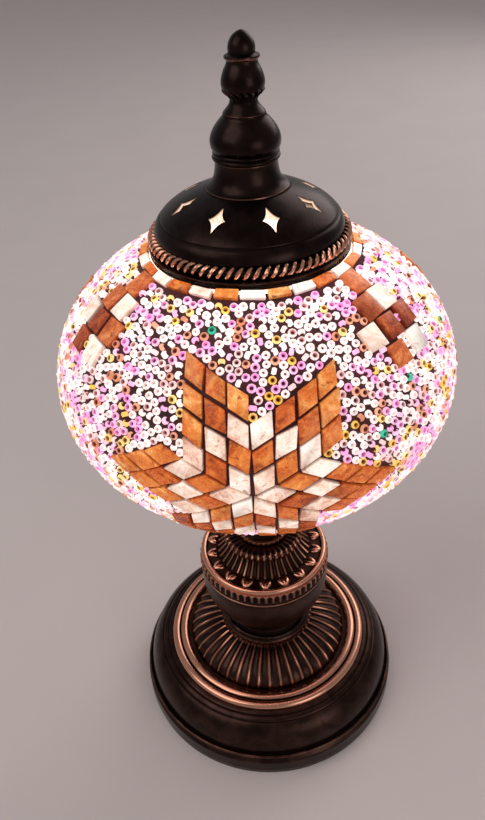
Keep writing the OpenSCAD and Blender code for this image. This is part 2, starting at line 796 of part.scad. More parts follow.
module finial_rod() {
    color("#8a8580") translate([0, 0, cap_top - cap_wall - 8.5])
        cylinder(r = rod_r, h = tip_z + 3.5 - cap_top + cap_wall + 8.5);
}

// Flared foot that stands on the dome
module finial_foot() {
    h = foot_part;
    color("#2c1a16") turned(cap_top, concat([[rod_hole, 0], [16.6, 0], [16.7, 0.5]],
        curve([[16.2, 0.9], [13.6, 2.2], [12.5, h * 0.5], [12.3, h - 1.2]], 8),
        [[12.3, h], [rod_hole, h]]));
}

// Bell with two fine collar rings round its foot
module finial_bell() {
    h = bell_part;
    color("#2c1a16") turned(bell_z, concat([[rod_hole, 0]],
        arc([12.4, 0.9], 0.9, -90, 70, 6), arc([12.2, 2.6], 0.8, -60, 60, 5),
        curve([[12.7, 3.4], [14.9, 6.4], [13.6, h * 0.66], [8.4, h - 0.7]], 10),
        [[8.2, h], [rod_hole, h]]));
}

// Cone, waist and onion bead
module finial_bead() {
    h = bead_part;
    color("#2c1a16") turned(bead_top_z, concat([[rod_hole, 0], [7.9, 0]],
        curve([[7.7, 0.8], [6, 2.6], [5.2, 3.6], [5.2, h * 0.28]], 5),
        curve([[5.9, h * 0.38], [8.6, h * 0.46], [8.7, h * 0.6], [7.2, h * 0.8]], 8),
        curve([[6.9, h * 0.84], [6, h * 0.92], [5.7, h * 0.96], [5.7, h]], 3),
        [[rod_hole, h]]));
}

// Ogive tip with a thin flared rim, blind bored for the rod
module finial_tip() {
    h = tip_part;
    bore = 4;
    color("#2c1a16") turned(tip_z, concat([[rod_r, 0], [5.8, 0], [6.6, 0.9], [6.5, 1.6], [4.9, 2.3]],
        curve([[5, h * 0.35], [5.1, h * 0.65], [3.2, h * 0.93], [0, h]], 10),
        [[0, bore], [rod_r, bore]]));
}

felt_pad();
base_plate();
weight_disc();
foot_band();
foot_shoulder();
cord_grommet();
lower_washer();
lower_nut();
stem_tube();
trim_ring();
fluted_dome();
stem_neck();
knop_bowl();
knop_crown();
spindle();
gallery_cup();
gallery_nut();
gallery_gasket();
gallery_screw(60);  // gallery_screw_right
gallery_screw(180);  // gallery_screw_rear
gallery_screw(300);  // gallery_screw_left
holder_shell();
holder_ring();
holder_insulator();
holder_sleeve();
holder_contact();
holder_terminals();
bulb_cap();
bulb_insulator();
bulb_tip();
bulb_glass();
bulb_stem();
bulb_filaments();
globe_neck();
globe_bowl();
globe_belly();
globe_shoulder();
globe_lip();
bead_layer();
star_tiles_white();
star_tiles_amber();
cluster_tiles_white();
cluster_tiles_amber();
collar_tiles_white();
collar_tiles_amber();
lower_tiles_white();
lower_tiles_amber();
cap_gasket();
cap_seat_ring();
cap_dome();
cap_rope_ring();
finial_washer();
finial_nut();
finial_rod();
finial_foot();
finial_bell();
finial_bead();
finial_tip();
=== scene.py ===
# %% [markdown]
# # A mosaic glass table lamp
#
# The lamp has three parts that a maker would build apart: a stacked metal stand, a blown
# glass globe covered with cut glass tiles and seed beads, and a pierced cap with a finial.
# The metal skeleton comes from the CAD frame and never moves here. What this lesson adds is
# the surface: turned and chased metal, hand-cut tiles, thousands of beads, and the light.

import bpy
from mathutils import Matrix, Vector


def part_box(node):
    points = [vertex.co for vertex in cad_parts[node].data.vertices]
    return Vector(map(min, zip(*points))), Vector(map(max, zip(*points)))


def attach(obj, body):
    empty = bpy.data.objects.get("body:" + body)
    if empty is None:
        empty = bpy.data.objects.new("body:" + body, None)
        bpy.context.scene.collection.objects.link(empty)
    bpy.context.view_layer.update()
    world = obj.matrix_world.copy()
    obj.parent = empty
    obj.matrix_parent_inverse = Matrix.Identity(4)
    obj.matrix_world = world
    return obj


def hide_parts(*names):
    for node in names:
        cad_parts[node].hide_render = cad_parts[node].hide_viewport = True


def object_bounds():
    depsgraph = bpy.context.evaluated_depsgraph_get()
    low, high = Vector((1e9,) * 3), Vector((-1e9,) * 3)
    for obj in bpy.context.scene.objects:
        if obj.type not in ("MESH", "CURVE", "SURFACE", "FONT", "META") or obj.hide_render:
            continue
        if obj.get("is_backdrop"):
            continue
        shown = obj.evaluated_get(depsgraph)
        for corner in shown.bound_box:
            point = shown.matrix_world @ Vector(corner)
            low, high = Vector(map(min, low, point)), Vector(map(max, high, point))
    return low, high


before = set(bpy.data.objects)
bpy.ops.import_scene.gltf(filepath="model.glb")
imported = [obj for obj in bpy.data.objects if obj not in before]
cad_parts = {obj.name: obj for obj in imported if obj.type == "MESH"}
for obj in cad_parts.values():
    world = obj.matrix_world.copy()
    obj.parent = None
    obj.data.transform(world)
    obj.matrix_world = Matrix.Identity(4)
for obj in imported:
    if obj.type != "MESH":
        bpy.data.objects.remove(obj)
cad_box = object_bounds()
print("CAD box in metres:", [round(v, 4) for corner in cad_box for v in corner])

# %% Tools and units
import math
import random

import bmesh
import bpy
import numpy as np
from mathutils import Matrix, Vector
from mathutils.kdtree import KDTree

MM = 0.001
TUBE_HOLE = 5.3   # radius of the holes that the threaded tube goes through, in mm
ROD_HOLE = 3.3    # the same for the finial's rod
SHEET = 1.6       # thickness of the spun sheet
WEAR_GAIN = 2.2   # how quickly a crest counts as worn


def span(node):
    """Bottom, top and outer radius of a CAD node, in millimetres."""
    low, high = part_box(node)
    return low[2] / MM, high[2] / MM, high[0] / MM


print("the lamp stands", round(span("finial_tip")[1], 1), "mm high")

# %% [markdown]
# ## Camera, floor and light
#
# The lamp is seen from above and close by, so the globe looks large and the foot small. The
# camera is placed by a pitch, a small turn and a small roll. A lamp that glows still needs
# soft light round it, or its metal would be a black shape: two large area lights and a pale
# world do that, weak enough that the globe stays the brightest thing.

# %% Camera
def look(place, yaw, pitch, roll):
    """World matrix of a camera that looks along +Y, turned right, tipped down and rolled."""
    turn = Matrix.Rotation(-yaw, 3, "Z") @ Matrix.Rotation(math.pi / 2 - pitch, 3, "X")
    return Matrix.Translation(place) @ (turn @ Matrix.Rotation(roll, 3, "Z")).to_4x4()


camera_data = bpy.data.cameras.new("camera")
camera_data.lens = 32.71
camera_data.sensor_width = 36
camera = bpy.data.objects.new("camera", camera_data)
camera.matrix_world = look((0, -0.2881, 0.4163), math.radians(-1.45), math.radians(36.89),
                           math.radians(-3.45))
bpy.context.scene.collection.objects.link(camera)
bpy.context.scene.camera = camera
print("camera at", [round(v, 3) for v in camera.location])

# %% [markdown]
# ## Writing materials as sums
#
# A procedural material is arithmetic: so much noise, times a mask, added to a base. `Value`
# wraps one socket and overloads the operators, so that each finish below reads like the sum
# that it is. Everything that is not plain arithmetic goes through one method, `node`.

# %% Values and finishes
class Value:
    """A socket that the operators below can add, subtract, multiply, divide and raise."""

    def __init__(self, finish, socket):
        self.finish, self.socket = finish, socket


for name, operation in (("add", "ADD"), ("sub", "SUBTRACT"), ("mul", "MULTIPLY"),
                        ("truediv", "DIVIDE"), ("pow", "POWER")):
    # the plain form, such as mask * 2, and the reflected one, such as 1 - mask
    setattr(Value, f"__{name}__", lambda a, b, op=operation: a.finish.maths(op, a, b))
    setattr(Value, f"__r{name}__", lambda a, b, op=operation: a.finish.maths(op, b, a))


class Finish:
    """A material in the making, on the Principled shader."""

    def __init__(self, name):
        self.material = bpy.data.materials.new(name)
        self.material.use_nodes = True
        self.tree = self.material.node_tree
        self.shader = self.tree.nodes["Principled BSDF"]

    def feed(self, socket, value):
        """Links a Value to a socket, or sets the socket's own number or colour."""
        if isinstance(value, Value):
            self.tree.links.new(value.socket, socket)
        elif isinstance(value, tuple) and socket.type == "RGBA":
            socket.default_value = (*value, 1)
        else:
            socket.default_value = value

    def node(self, kind, settings=None, sockets=None, out=0):
        """Makes a node, sets it up, feeds its sockets and returns one output."""
        made = self.tree.nodes.new("ShaderNode" + kind)
        for key, value in (settings or {}).items():
            if key == "stops":
                ramp = made.color_ramp.elements
                while len(ramp) < len(value):
                    ramp.new(0.5)
                for stop, (place, colour) in zip(ramp, value):
                    stop.position, stop.color = place, (*colour, 1)
            else:
                setattr(made, key, value)
        for key, value in (sockets or {}).items():
            self.feed(made.inputs[key], value)
        return Value(self, made.outputs[out])

    def maths(self, operation, a, b=0.0):
        return self.node("Math", {"operation": operation}, {0: a, 1: b})

    def mask(self, value, low, high):
        """0 below low, 1 above high, smooth between."""
        return self.node("MapRange", {"interpolation_type": "SMOOTHSTEP"},
                         {"Value": value, "From Min": low, "From Max": high})

    def blend(self, a, b, mask):
        """Colour a where mask is 0, colour b where it is 1."""
        return self.node("Mix", {"data_type": "RGBA"}, {0: mask, 6: a, 7: b}, 2)

    def dim(self, colour, value):
        """A colour times a value, kept a colour."""
        return self.node("VectorMath", {"operation": "SCALE"}, {0: colour, "Scale": value})

    def place(self):
        return self.node("TexCoord", out="Object")

    def painted(self, name):
        """A number stored on the piece's own vertices."""
        return self.node("Attribute", {"attribute_name": name}, out="Fac")

    def noise(self, size, detail=3, distortion=0.0):
        """Noise whose blotches are about that many millimetres across."""
        return self.node("TexNoise", {}, {"Vector": self.place(), "Scale": 1 / (size * MM),
                                          "Detail": detail, "Distortion": distortion}, "Fac")

    def relief(self, height, depth):
        """A bump of a Value's height, that many millimetres deep."""
        return self.node("Bump", {}, {"Height": height, "Strength": 1.0,
                                      "Distance": depth * MM})

    def surface(self, **sockets):
        """Sets the shader's sockets, with _ for the spaces in their names, and finishes."""
        for key, value in sockets.items():
            self.feed(self.shader.inputs[key.replace("_", " ")], value)
        return self.material


print("values and finishes ready")

# %% Floor and lights
def shop_floor():
    """A matt pale floor, far larger than the lamp."""
    bm = bmesh.new()
    bmesh.ops.create_grid(bm, x_segments=1, y_segments=1, size=8)
    mesh = bpy.data.meshes.new("floor")
    bm.to_mesh(mesh)
    bm.free()
    floor = bpy.data.objects.new("floor", mesh)
    bpy.context.scene.collection.objects.link(floor)
    paint = Finish("pale floor")
    tint = paint.blend((0.70, 0.65, 0.64), (0.76, 0.71, 0.70), paint.noise(90))
    mesh.materials.append(paint.surface(Base_Color=tint, Roughness=0.75))
    floor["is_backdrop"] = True
    return floor


def softbox(name, place, size, power, colour):
    """A square area light that faces the globe."""
    data = bpy.data.lights.new(name, "AREA")
    data.size, data.energy, data.color = size, power, colour
    light = bpy.data.objects.new(name, data)
    light.location = place
    toward = Vector((0, 0, 0.2)) - Vector(place)
    light.rotation_euler = toward.to_track_quat("-Z", "Y").to_euler()
    bpy.context.scene.collection.objects.link(light)


shop_floor()
softbox("window light", (-1.1, -0.6, 1.5), 1.4, 9, (1.0, 0.95, 0.92))
softbox("rear light", (1.0, 1.2, 1.1), 1.2, 8, (1.0, 0.90, 0.88))
softbox("low light", (0.9, -1.3, 0.5), 0.8, 3, (1.0, 0.93, 0.9))
world = bpy.data.worlds.new("studio")
world.use_nodes = True
world.node_tree.nodes["Background"].inputs["Color"].default_value = (0.80, 0.74, 0.74, 1)
world.node_tree.nodes["Background"].inputs["Strength"].default_value = 0.35
bpy.context.scene.world = world
bpy.context.scene.view_settings.view_transform = "Standard"
print("three lights and a pale world")

# %% [markdown]
# ## Turning metal
#
# Nearly every metal piece of the lamp is spun or turned, so it is an outline that goes round
# the stem. `turned` draws the outline with a few vertices and lets the spin operator make the
# surface. Cubic curves and arcs with many points keep the outline smooth, which the coarser
# CAD solids are not. Chased patterns such as flutes and reeds are pressed into the spun
# surface afterwards, along its normals, as a chasing tool would do.

# %% Outlines
def curve(a, b, c, d, n=16):
    """Points of a cubic curve from a to d, pulled towards b and c."""
    a, b, c, d = (np.array(p, float) for p in (a, b, c, d))
    return [tuple((1 - t) ** 3 * a + 3 * (1 - t) ** 2 * t * b + 3 * (1 - t) * t * t * c
                  + t ** 3 * d) for t in np.linspace(0, 1, n + 1)]


def arc(centre, r, start, end, n=10):
    """Points of an arc, with angles in degrees."""
    return [(centre[0] + r * math.cos(w), centre[1] + r * math.sin(w))
            for w in np.radians(np.linspace(start, end, n + 1))]


def inside(line, wall):
    """The same outline, back down the inside of a wall."""
    p = np.array(line)
    run = np.gradient(p, axis=0)
    run /= np.linalg.norm(run, axis=1)[:, None]
    return [tuple(q) for q in (p - wall * np.column_stack([run[:, 1], -run[:, 0]]))[::-1]]


def raised(line, z):
    """An outline lifted by z."""
    return [(r, h + z) for r, h in line]


def window(value, low, high, soft):
    """1 between low and high, fading to 0 over soft outside them."""
    t = min((value - low) / soft + 1, (high - value) / soft + 1)
    t = max(0.0, min(1.0, t))
    return t * t * (3 - 2 * t)


print("a quarter arc has", len(arc((0, 0), 1, 0, 90)), "points")

# %% Turning, pressing and finishing a piece
def held(outline, near=0.45):
    """The outline with two points close to each end of a long run, so that an edge's wear
    stays at the edge."""
    points = []
    for p, q in zip(outline, outline[1:] + outline[:1]):
        run = math.dist(p, q)
        steps = [near, 2 * near, run - 2 * near, run - near] if run > 5 * near else []
        points += [p] + [(p[0] + (q[0] - p[0]) * d / run, p[1] + (q[1] - p[1]) * d / run)
                         for d in steps]
    return points


def turned(outline, steps=120):
    """Spins a closed outline of (radius, height) in millimetres round the stem."""
    bm = bmesh.new()
    verts = [bm.verts.new((max(r, 0) * MM, 0, z * MM)) for r, z in held(outline)]
    edges = [bm.edges.new(pair) for pair in zip(verts, verts[1:] + verts[:1])]
    bmesh.ops.spin(bm, geom=verts + edges, cent=(0, 0, 0), axis=(0, 0, 1), dvec=(0, 0, 0),
                   angle=2 * math.pi, steps=steps, use_merge=True)
    bmesh.ops.remove_doubles(bm, verts=bm.verts, dist=1e-6)
    bmesh.ops.recalc_face_normals(bm, faces=bm.faces)
    return bm


def pressed(bm, pattern):
    """Moves the surface along its normals by pattern(angle, radius, height), all in mm."""
    bm.normal_update()
    moves = []
    for v in bm.verts:
        x, y, z = v.co / MM
        moves.append(v.normal * (pattern(math.atan2(x, -y), math.hypot(x, y), z) * MM))
    for v, move in zip(bm.verts, moves):
        v.co += move
    return bm


def mark_wear(mesh):
    """Stores how far each vertex stands out of its neighbours: 0.5 is flat, 1 is a crest."""
    count = len(mesh.vertices)
    place, normal = np.empty(count * 3), np.empty(count * 3)
    mesh.vertices.foreach_get("co", place)
    mesh.vertices.foreach_get("normal", normal)
    place, normal = place.reshape(-1, 3), normal.reshape(-1, 3)
    ends = np.empty(len(mesh.edges) * 2, int)
    mesh.edges.foreach_get("vertices", ends)
    a, b = ends.reshape(-1, 2).T
    step = place[b] - place[a]
    step /= np.maximum(np.linalg.norm(step, axis=1), 1e-9)[:, None]
    total, near = np.zeros(count), np.zeros(count)
    np.add.at(total, a, -(normal[a] * step).sum(1))
    np.add.at(total, b, (normal[b] * step).sum(1))
    np.add.at(near, np.concatenate([a, b]), 1)
    bend = total / np.maximum(near, 1)
    for _ in range(2):
        spread = bend.copy()
        np.add.at(spread, a, bend[b])
        np.add.at(spread, b, bend[a])
        bend = spread / (near + 1)
    layer = mesh.attributes.new("wear", "FLOAT", "POINT")
    layer.data.foreach_set("value", np.clip(0.5 + WEAR_GAIN * bend, 0, 1))


def piece(bm, name, finish, body, nodes=(), sharp=40):
    """Turns a bmesh into a piece that rides on a body and stands for CAD nodes."""
    mesh = bpy.data.meshes.new(name)
    bm.to_mesh(mesh)
    bm.free()
    mesh.polygons.foreach_set("use_smooth", [True] * len(mesh.polygons))
    mesh.set_sharp_from_angle(angle=math.radians(sharp))
    mark_wear(mesh)
    mesh.materials.append(finish)
    made = bpy.data.objects.new(name, mesh)
    bpy.context.scene.collection.objects.link(made)
    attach(made, body)
    if nodes:
        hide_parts(*nodes)
    print(name, len(mesh.polygons), "faces")
    return made


# %% [markdown]
# ## Antique metal
#
# The metal is a thin copper wash that was blackened and then rubbed, so it is nearly black in
# the hollows and red-brown copper on the crests. The `wear` number that each piece carries
# drives that. Noise breaks the edge of the wear, and a fine bump keeps the reflections from
# looking like a mirror. The same recipe with other colours gives the cap's darker bronze and
# the rings' lighter copper, partly a brighter rub and partly painted highlight where the rings
# catch the globe's light.

# %% Metal finishes
def antique(name, dark, copper, rub, shine, lit_side=None):
    """Blackened metal rubbed bright where it stands out, lit on a painted side if asked."""
    f = Finish(name)
    blotch = f.noise(9, 5, 0.6)
    grain = f.noise(1.1, 4)
    worn = f.mask(f.painted("wear") + 0.10 * (blotch - 0.5) + 0.07 * (grain - 0.5), 0.5 + rub,
                  0.66 + rub)
    hollow = f.mask(f.painted("wear") + 0.06 * (grain - 0.5), 0.36, 0.50)
    base = f.blend(dark, tuple(1.9 * c for c in dark), f.mask(blotch, 0.35, 0.7))
    base = f.blend((0.010, 0.006, 0.005), base, hollow)
    if lit_side:
        f.surface(Emission_Color=f.blend((0.0, 0.0, 0.0), lit_side, f.painted("lit_side")),
                  Emission_Strength=1.0)
    return f.surface(Base_Color=f.blend(base, copper, worn), Metallic=1.0,
                     Roughness=shine + 0.16 * blotch + 0.22 * (1 - hollow) - 0.07 * worn,
                     Normal=f.relief(blotch * 0.4 + grain * 0.6, 0.05))


antique_copper = antique("antique copper", (0.038, 0.019, 0.015), (0.50, 0.225, 0.140), 0.05, 0.24)
smooth_copper = antique("smooth copper", (0.028, 0.015, 0.012), (0.36, 0.165, 0.110), 0.15, 0.22)
smooth_bronze = antique("smooth bronze", (0.015, 0.009, 0.008), (0.16, 0.078, 0.058), 0.24, 0.20)
lit_bronze = antique("bronze lit from inside", (0.015, 0.009, 0.008), (0.12, 0.060, 0.046), 0.30,
                     0.20, (1.5, 1.0, 0.72))
# lighter copper for the rings: partly a brighter rub, partly painted highlight of the globe's light
painted_highlight_copper = antique("copper with painted highlight", (0.26, 0.112, 0.075), (0.72, 0.37, 0.25), -0.03, 0.20)
print("five metal finishes")

# %% [markdown]
# ## The foot
#
# The foot is one heavy pressing: a flat band that stands on felt, a rolled edge, and a smooth
# shoulder with two fine turned grooves. It is spun from one outline. The hole for the cord's
# bush is cut with a boolean, because that is the only part of the foot that is not round.

# %% Foot
def cut(made, cutter_bm):
    """Cuts a piece with a closed cutter, clears slivers and keeps the result as its mesh."""
    mesh = bpy.data.meshes.new("cutter")
    cutter_bm.to_mesh(mesh)
    cutter_bm.free()
    cutter = bpy.data.objects.new("cutter", mesh)
    bpy.context.scene.collection.objects.link(cutter)
    step = made.modifiers.new("cut", "BOOLEAN")
    step.operation, step.solver, step.object = "DIFFERENCE", "EXACT", cutter
    bpy.context.view_layer.update()
    graph = bpy.context.evaluated_depsgraph_get()
    result = bpy.data.meshes.new_from_object(made.evaluated_get(graph))
    clean = bmesh.new()
    clean.from_mesh(result)
    bmesh.ops.dissolve_degenerate(clean, dist=1e-6, edges=clean.edges)
    clean.to_mesh(result)
    clean.free()
    made.modifiers.clear()
    made.data = result
    bpy.data.objects.remove(cutter)


def dipped(line, at, width, depth):
    """A fine groove turned into an outline at one radius."""
    return [(r, z - depth * math.exp(-((r - at) / width) ** 2)) for r, z in line]


foot_low, _, foot_r = span("foot_band")
foot_top = span("foot_shoulder")[1]
trim_r = span("trim_ring")[2]
foot_h = foot_top - foot_low
bead_z = 12.6
shoulder = curve((foot_r - 3, bead_z + 1.6), (foot_r - 4, foot_h - 6), (trim_r + 7, foot_h - 1.6),
                 (trim_r + 0.6, foot_h), 70)
shoulder = dipped(dipped(shoulder, 64, 0.5, 0.4), 60.8, 0.5, 0.4)
foot_line = ([(foot_r - 0.5, 0), (foot_r - 0.1, 0.4), (foot_r, 1.2), (foot_r, 5), (foot_r, 8.6),
              (foot_r - 0.3, 9.3)]
             + curve((foot_r - 1.2, 10.5), (foot_r - 1.9, 11), (foot_r - 2, 11.7),
                     (foot_r - 1.2, bead_z - 0.5), 6)
             + arc((foot_r - 1.5, bead_z + 0.3), 0.9, -30, 150, 10) + shoulder
             + [(TUBE_HOLE, foot_h), (TUBE_HOLE, foot_h - SHEET)]
             + curve((trim_r, foot_h - SHEET), (trim_r + 5, foot_h - 2.6),
                     (foot_r - 6.6, foot_h - 8), (foot_r - 4.6, bead_z), 14)
             + [(foot_r - 4.6, 0)])
foot = piece(turned(raised(foot_line, foot_low), 160), "foot", smooth_copper, "base",
             ["foot_band", "foot_shoulder"])
bush_low, bush_high = (Vector(corner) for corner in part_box("cord_grommet"))
bush_waist = 4.7 * MM
drill = bmesh.new()
bmesh.ops.create_cone(drill, cap_ends=True, segments=48, radius1=bush_waist,
                      radius2=bush_waist, depth=12 * MM,
                      matrix=Matrix.Translation((bush_low + bush_high) / 2)
                      @ Matrix.Rotation(math.pi / 2, 4, "X"))
cut(foot, drill)
print("foot radius", foot_r, "mm")

# %% [markdown]
# ## Double ring, fluted dome and neck
#
# Over the foot lie two rolled copper beads. Inside them stands a low dome with 44 flutes, and
# on it a smooth waisted neck. The flutes are wide hollows with narrow ridges between them, so
# the pressed pattern is a bell curve of a sine, which stays low and then rises to a crest. It
# fades out at the dome's top and foot, where the tool would stop.

# %% Double ring
ring_low = span("trim_ring")[0]
outer_bead, inner_bead = trim_r - 2.5, trim_r - 7.2
double_ring = ([(inner_bead - 2.5, 0)]
               + arc((inner_bead, 0.5), 2.8, 170, 38, 14)
               + arc((outer_bead, 0.2), 2.5, 145, -4, 14))
# the rolled beads take the lighter copper, partly painted highlight where they catch the globe's
# light
piece(turned(raised(double_ring, ring_low), 160), "double_ring", painted_highlight_copper, "base",
      ["trim_ring"])

# %% Fluted dome
dome_low, dome_top, dome_r = span("fluted_dome")
dome_h = dome_top - dome_low
dome_line = curve((dome_r, 0), (dome_r - 0.6, dome_h * 0.55), (36.1, dome_h * 0.86),
                  (27.1, dome_h), 40)
FLUTES = 44


def crest(angle, count, width):
    """Narrow ridges round the stem: 1 on each crest, near 0 between them."""
    return math.exp(-(math.sin(count * angle / 2) / width) ** 2)


def dome_flutes(angle, r, z):
    """Ridges that fade at the top and the foot of the dome, on its outside only."""
    fade = window(r, 27.6, dome_r - 1.2, 1.6) * (z > dome_low + 0.3)
    return fade * (1.5 - 0.75 * (r - 27) / (dome_r - 27)) * (crest(angle, FLUTES, 0.45) - 0.42)


dome = turned(raised(dome_line + [(TUBE_HOLE, dome_h), (TUBE_HOLE, dome_h - SHEET)]
                     + inside(dome_line, 2.4)[:-2] + [(dome_r - 2.4, 0)], dome_low), FLUTES * 10)
piece(pressed(dome, dome_flutes), "fluted_dome_chased", antique_copper, "base", ["fluted_dome"])

# %% Neck
neck_low, neck_top, _ = span("stem_neck")
neck_h = neck_top - neck_low
neck_line = ([(25.9, 0), (25.9, 2.2)] + arc((23.8, 3.9), 1.4, -30, 120, 10)
             + curve((22.3, 6.2), (21.3, neck_h * 0.55), (21.9, neck_h * 0.8), (24.5, neck_h), 24)
             + [(TUBE_HOLE, neck_h), (TUBE_HOLE, neck_h - 2), (19.1, neck_h - 2), (19.1, 0)])
piece(turned(raised(neck_line, neck_low)), "waisted_neck", smooth_copper, "base", ["stem_neck"])

# %% [markdown]
# ## The knop
#
# The knop is the ball that a hand closes on. Its bowl ends in a band of 58 upright reeds, and
# its cover has a bead, a ring of 18 heart-shaped petals, a ribbed slope and a bead with a round
# lobe over each rib. The first bead and the petals are in the lighter copper, whose brightness
# is partly painted highlight. Reeds, ribs and lobes are pressed patterns, which follow the slope
# under them. Petals stand on flat ground, so they are pieces of their own: two flattened
# spheres that lean together give the two lobes and the point in one go.

# %% Bowl with its reeds
bowl_low, bowl_top, knop_r = span("knop_bowl")
bowl_h = bowl_top - bowl_low
band_r = knop_r - 0.9
bowl_line = curve((26, 0), (knop_r - 1.5, bowl_h * 0.17), (knop_r + 0.3, bowl_h * 0.52),
                  (band_r, bowl_h - 8.3), 30)
bowl_rise = ([(TUBE_HOLE, 0)] + bowl_line
             + [(band_r + 0.5, bowl_h - 7.8), (band_r + 0.5, bowl_h - 7.3), (band_r, bowl_h - 6.9)]
             + [(band_r, bowl_h - 6.5 + 0.5 * i) for i in range(12)]
             + [(band_r, bowl_h), (band_r - SHEET, bowl_h)] + inside(bowl_line, SHEET)[:-3]
             + [(25, 2), (TUBE_HOLE, 2)])
REEDS = 58


def reeds(angle, r, z):
    """Upright reeds on the band under the knop's rim."""
    fade = window(z, bowl_top - 5.2, bowl_top - 1.0, 0.6) * (r > band_r - 0.6)
    return 1.05 * fade * (crest(angle, REEDS, 0.45) - 0.2)


piece(pressed(turned(raised(bowl_rise, bowl_low), REEDS * 6), reeds), "reeded_bowl",
      antique_copper, "base", ["knop_bowl"])

# %% Cover with petals, ribs and lobes
crown_low, crown_top, crown_reach = span("knop_crown")
crown_h = crown_top - crown_low
crown_r = crown_reach - 0.8
slope = curve((crown_r - 8.2, 1.9), (crown_r - 11.4, 5.3), (19.9, crown_h * 0.5),
              (19.5, crown_h - 5.4), 40)
crown_line = ([(crown_r + 0.8, 0)] + arc((crown_r - 0.6, 1.5), 1.4, -30, 150, 12)
              + [(crown_r - 2.4, 1.9), (crown_r - 5, 1.9)] + slope
              + arc((19.3, crown_h - 3.2), 2.1, -70, 90, 16)
              + [(TUBE_HOLE, crown_h - 1.1), (TUBE_HOLE, crown_h - 3), (16, crown_h - 3)]
              + inside(slope, SHEET)[2:-2] + [(crown_r - 8.2, 0)])
PETALS, RIBS = 18, 40


def cover_pattern(angle, r, z):
    """Narrow ribs up the slope, and a round lobe on the top bead over each rib."""
    h = z - crown_low
    ribs = window(h, 2.6, crown_h - 5.6, 0.7) * (r < crown_r - 7.6)
    lobes = window(h, crown_h - 4.8, crown_h - 1.4, 0.6) * (r > 17.5)
    return (ribs * (0.95 * crest(angle, RIBS, 0.45) - 0.4)
            + lobes * (0.9 * crest(angle, RIBS, 0.75) - 0.55))


def petal(bm, turn):
    """A heart: two flattened balls that lean together towards the rim."""
    for side in (-1, 1):
        place = (Matrix.Rotation(turn, 4, "Z")
                 @ Matrix.Translation(((crown_r - 4.9) * MM, side * 1.2 * MM,
                                       (crown_low + 2.1) * MM))
                 @ Matrix.Rotation(-side * math.radians(26), 4, "Z")
                 @ Matrix.Diagonal((3.2 * MM, 1.7 * MM, 1.3 * MM, 1)))
        bmesh.ops.create_uvsphere(bm, u_segments=16, v_segments=9, radius=1, matrix=place)


piece(pressed(turned(raised(crown_line, crown_low), RIBS * 9), cover_pattern), "ribbed_cover",
      antique_copper, "base", ["knop_crown"])
rim = [(crown_r - 0.6 + 1.5 * math.cos(w), crown_low + 1.5 + 1.5 * math.sin(w))
       for w in np.linspace(-0.9, 2.4, 20)]
piece(turned(rim + [(crown_r - 1.4, crown_low + 1)]), "knop_rim", painted_highlight_copper, "base", ())
petals = bmesh.new()
for i in range(PETALS):
    petal(petals, 2 * math.pi * i / PETALS - math.pi / 2)
piece(petals, "petal_ring", painted_highlight_copper, "base", ())

# %% [markdown]
# ## Spindle
#
# Between the knop and the cup that holds the glass stands a short turned spindle. It is
# mostly hidden under the globe, but it shows from below and from the sides. Like the knop it
# could be cast, with its dots in the mould. Here it is turned and the dots are pressed in,
# so that it takes the same finish and wear as its neighbours.

# %% Spindle
spin_low, spin_top, _ = span("spindle")
h = spin_top - spin_low - 1.1
spindle_line = ([(TUBE_HOLE, 0), (14, 0), (14.2, 1), (14, 2)]
                + curve((13, 2.6), (9.5, 3.4), (9.2, h * 0.45), (11.5, h * 0.55), 14)
                + arc((11.2, h * 0.62), 1.6, -60, 90, 10)
                + curve((10.4, h * 0.74), (10.4, h * 0.84), (13, h * 0.97), (17, h + 1.1), 14)
                + [(TUBE_HOLE, h + 1.1)])


def dots(angle, r, z):
    """Small dots round the spindle's foot ring."""
    return 0.4 * (r > 12.9) * window(z, spin_low + 0.8, spin_low + 1.9, 0.5) * crest(angle, 32, 0.6)


piece(pressed(turned(raised(spindle_line, spin_low), 32 * 8), dots), "turned_spindle",
      antique_copper, "base", ["spindle"])

# %% [markdown]
# ## The cap
#
# The cap is spun sheet: a skirt, a recess that holds a ring of twisted wire, and a dome with
# eight openings. Each opening is a lozenge with four hollow sides, cut with a boolean from a
# dome that already has its wall, so the cut shows the thickness of the sheet. The ring is two
# wires wound side by side round a plain one. Real windings catch the light as long slanting
# strokes, which a pattern pressed into a plain ring would not.

# %% Pierced dome
cap_low, cap_top, cap_r = span("cap_dome")
cap_wall, skirt_h, dome_foot = 1.2, 3.4, 8.8
rise = cap_top - cap_low - dome_foot
recess_r = cap_r - 4.4
cap_line = curve((cap_r - 2.7, dome_foot), (cap_r - 3, dome_foot + rise * 0.36),
                 (cap_r - 11, dome_foot + rise * 0.7), (17, dome_foot + rise), 60)
cap_line = [(r - 0.45 * math.exp(-((z - dome_foot - 5.2) / 0.45) ** 2), z) for r, z in cap_line]
cap_outline = ([(cap_r - cap_wall, 0), (cap_r - 0.3, 0), (cap_r, 0.4), (cap_r, 1.2),
                (cap_r - 0.25, 1.5), (cap_r, 1.8), (cap_r, skirt_h - 0.6), (cap_r - 0.8, skirt_h),
                (recess_r, skirt_h), (recess_r, dome_foot)]
               + cap_line + [(ROD_HOLE, dome_foot + rise), (ROD_HOLE, dome_foot + rise - cap_wall)]
               + inside(cap_line, cap_wall)[:-1]
               + [(recess_r - cap_wall, dome_foot + 0.6), (recess_r - cap_wall, skirt_h - cap_wall),
                  (cap_r - cap_wall, skirt_h - cap_wall)])
cap = piece(turned(raised(cap_outline, cap_low), 128), "pierced_cap", lit_bronze, "cap",
            ["cap_dome"])


def lozenge(width, height):
    """Outline of an opening: four hollow sides between round tips."""
    w, l = width / 2, height / 2
    points = []
    for step in range(48):
        a = 2 * math.pi * step / 48
        c, s = math.cos(a), math.sin(a)
        points.append((w * c * abs(c) ** 2.4 + 0.95 * c, l * s * abs(s) ** 2.4 + 0.95 * s))
    return points


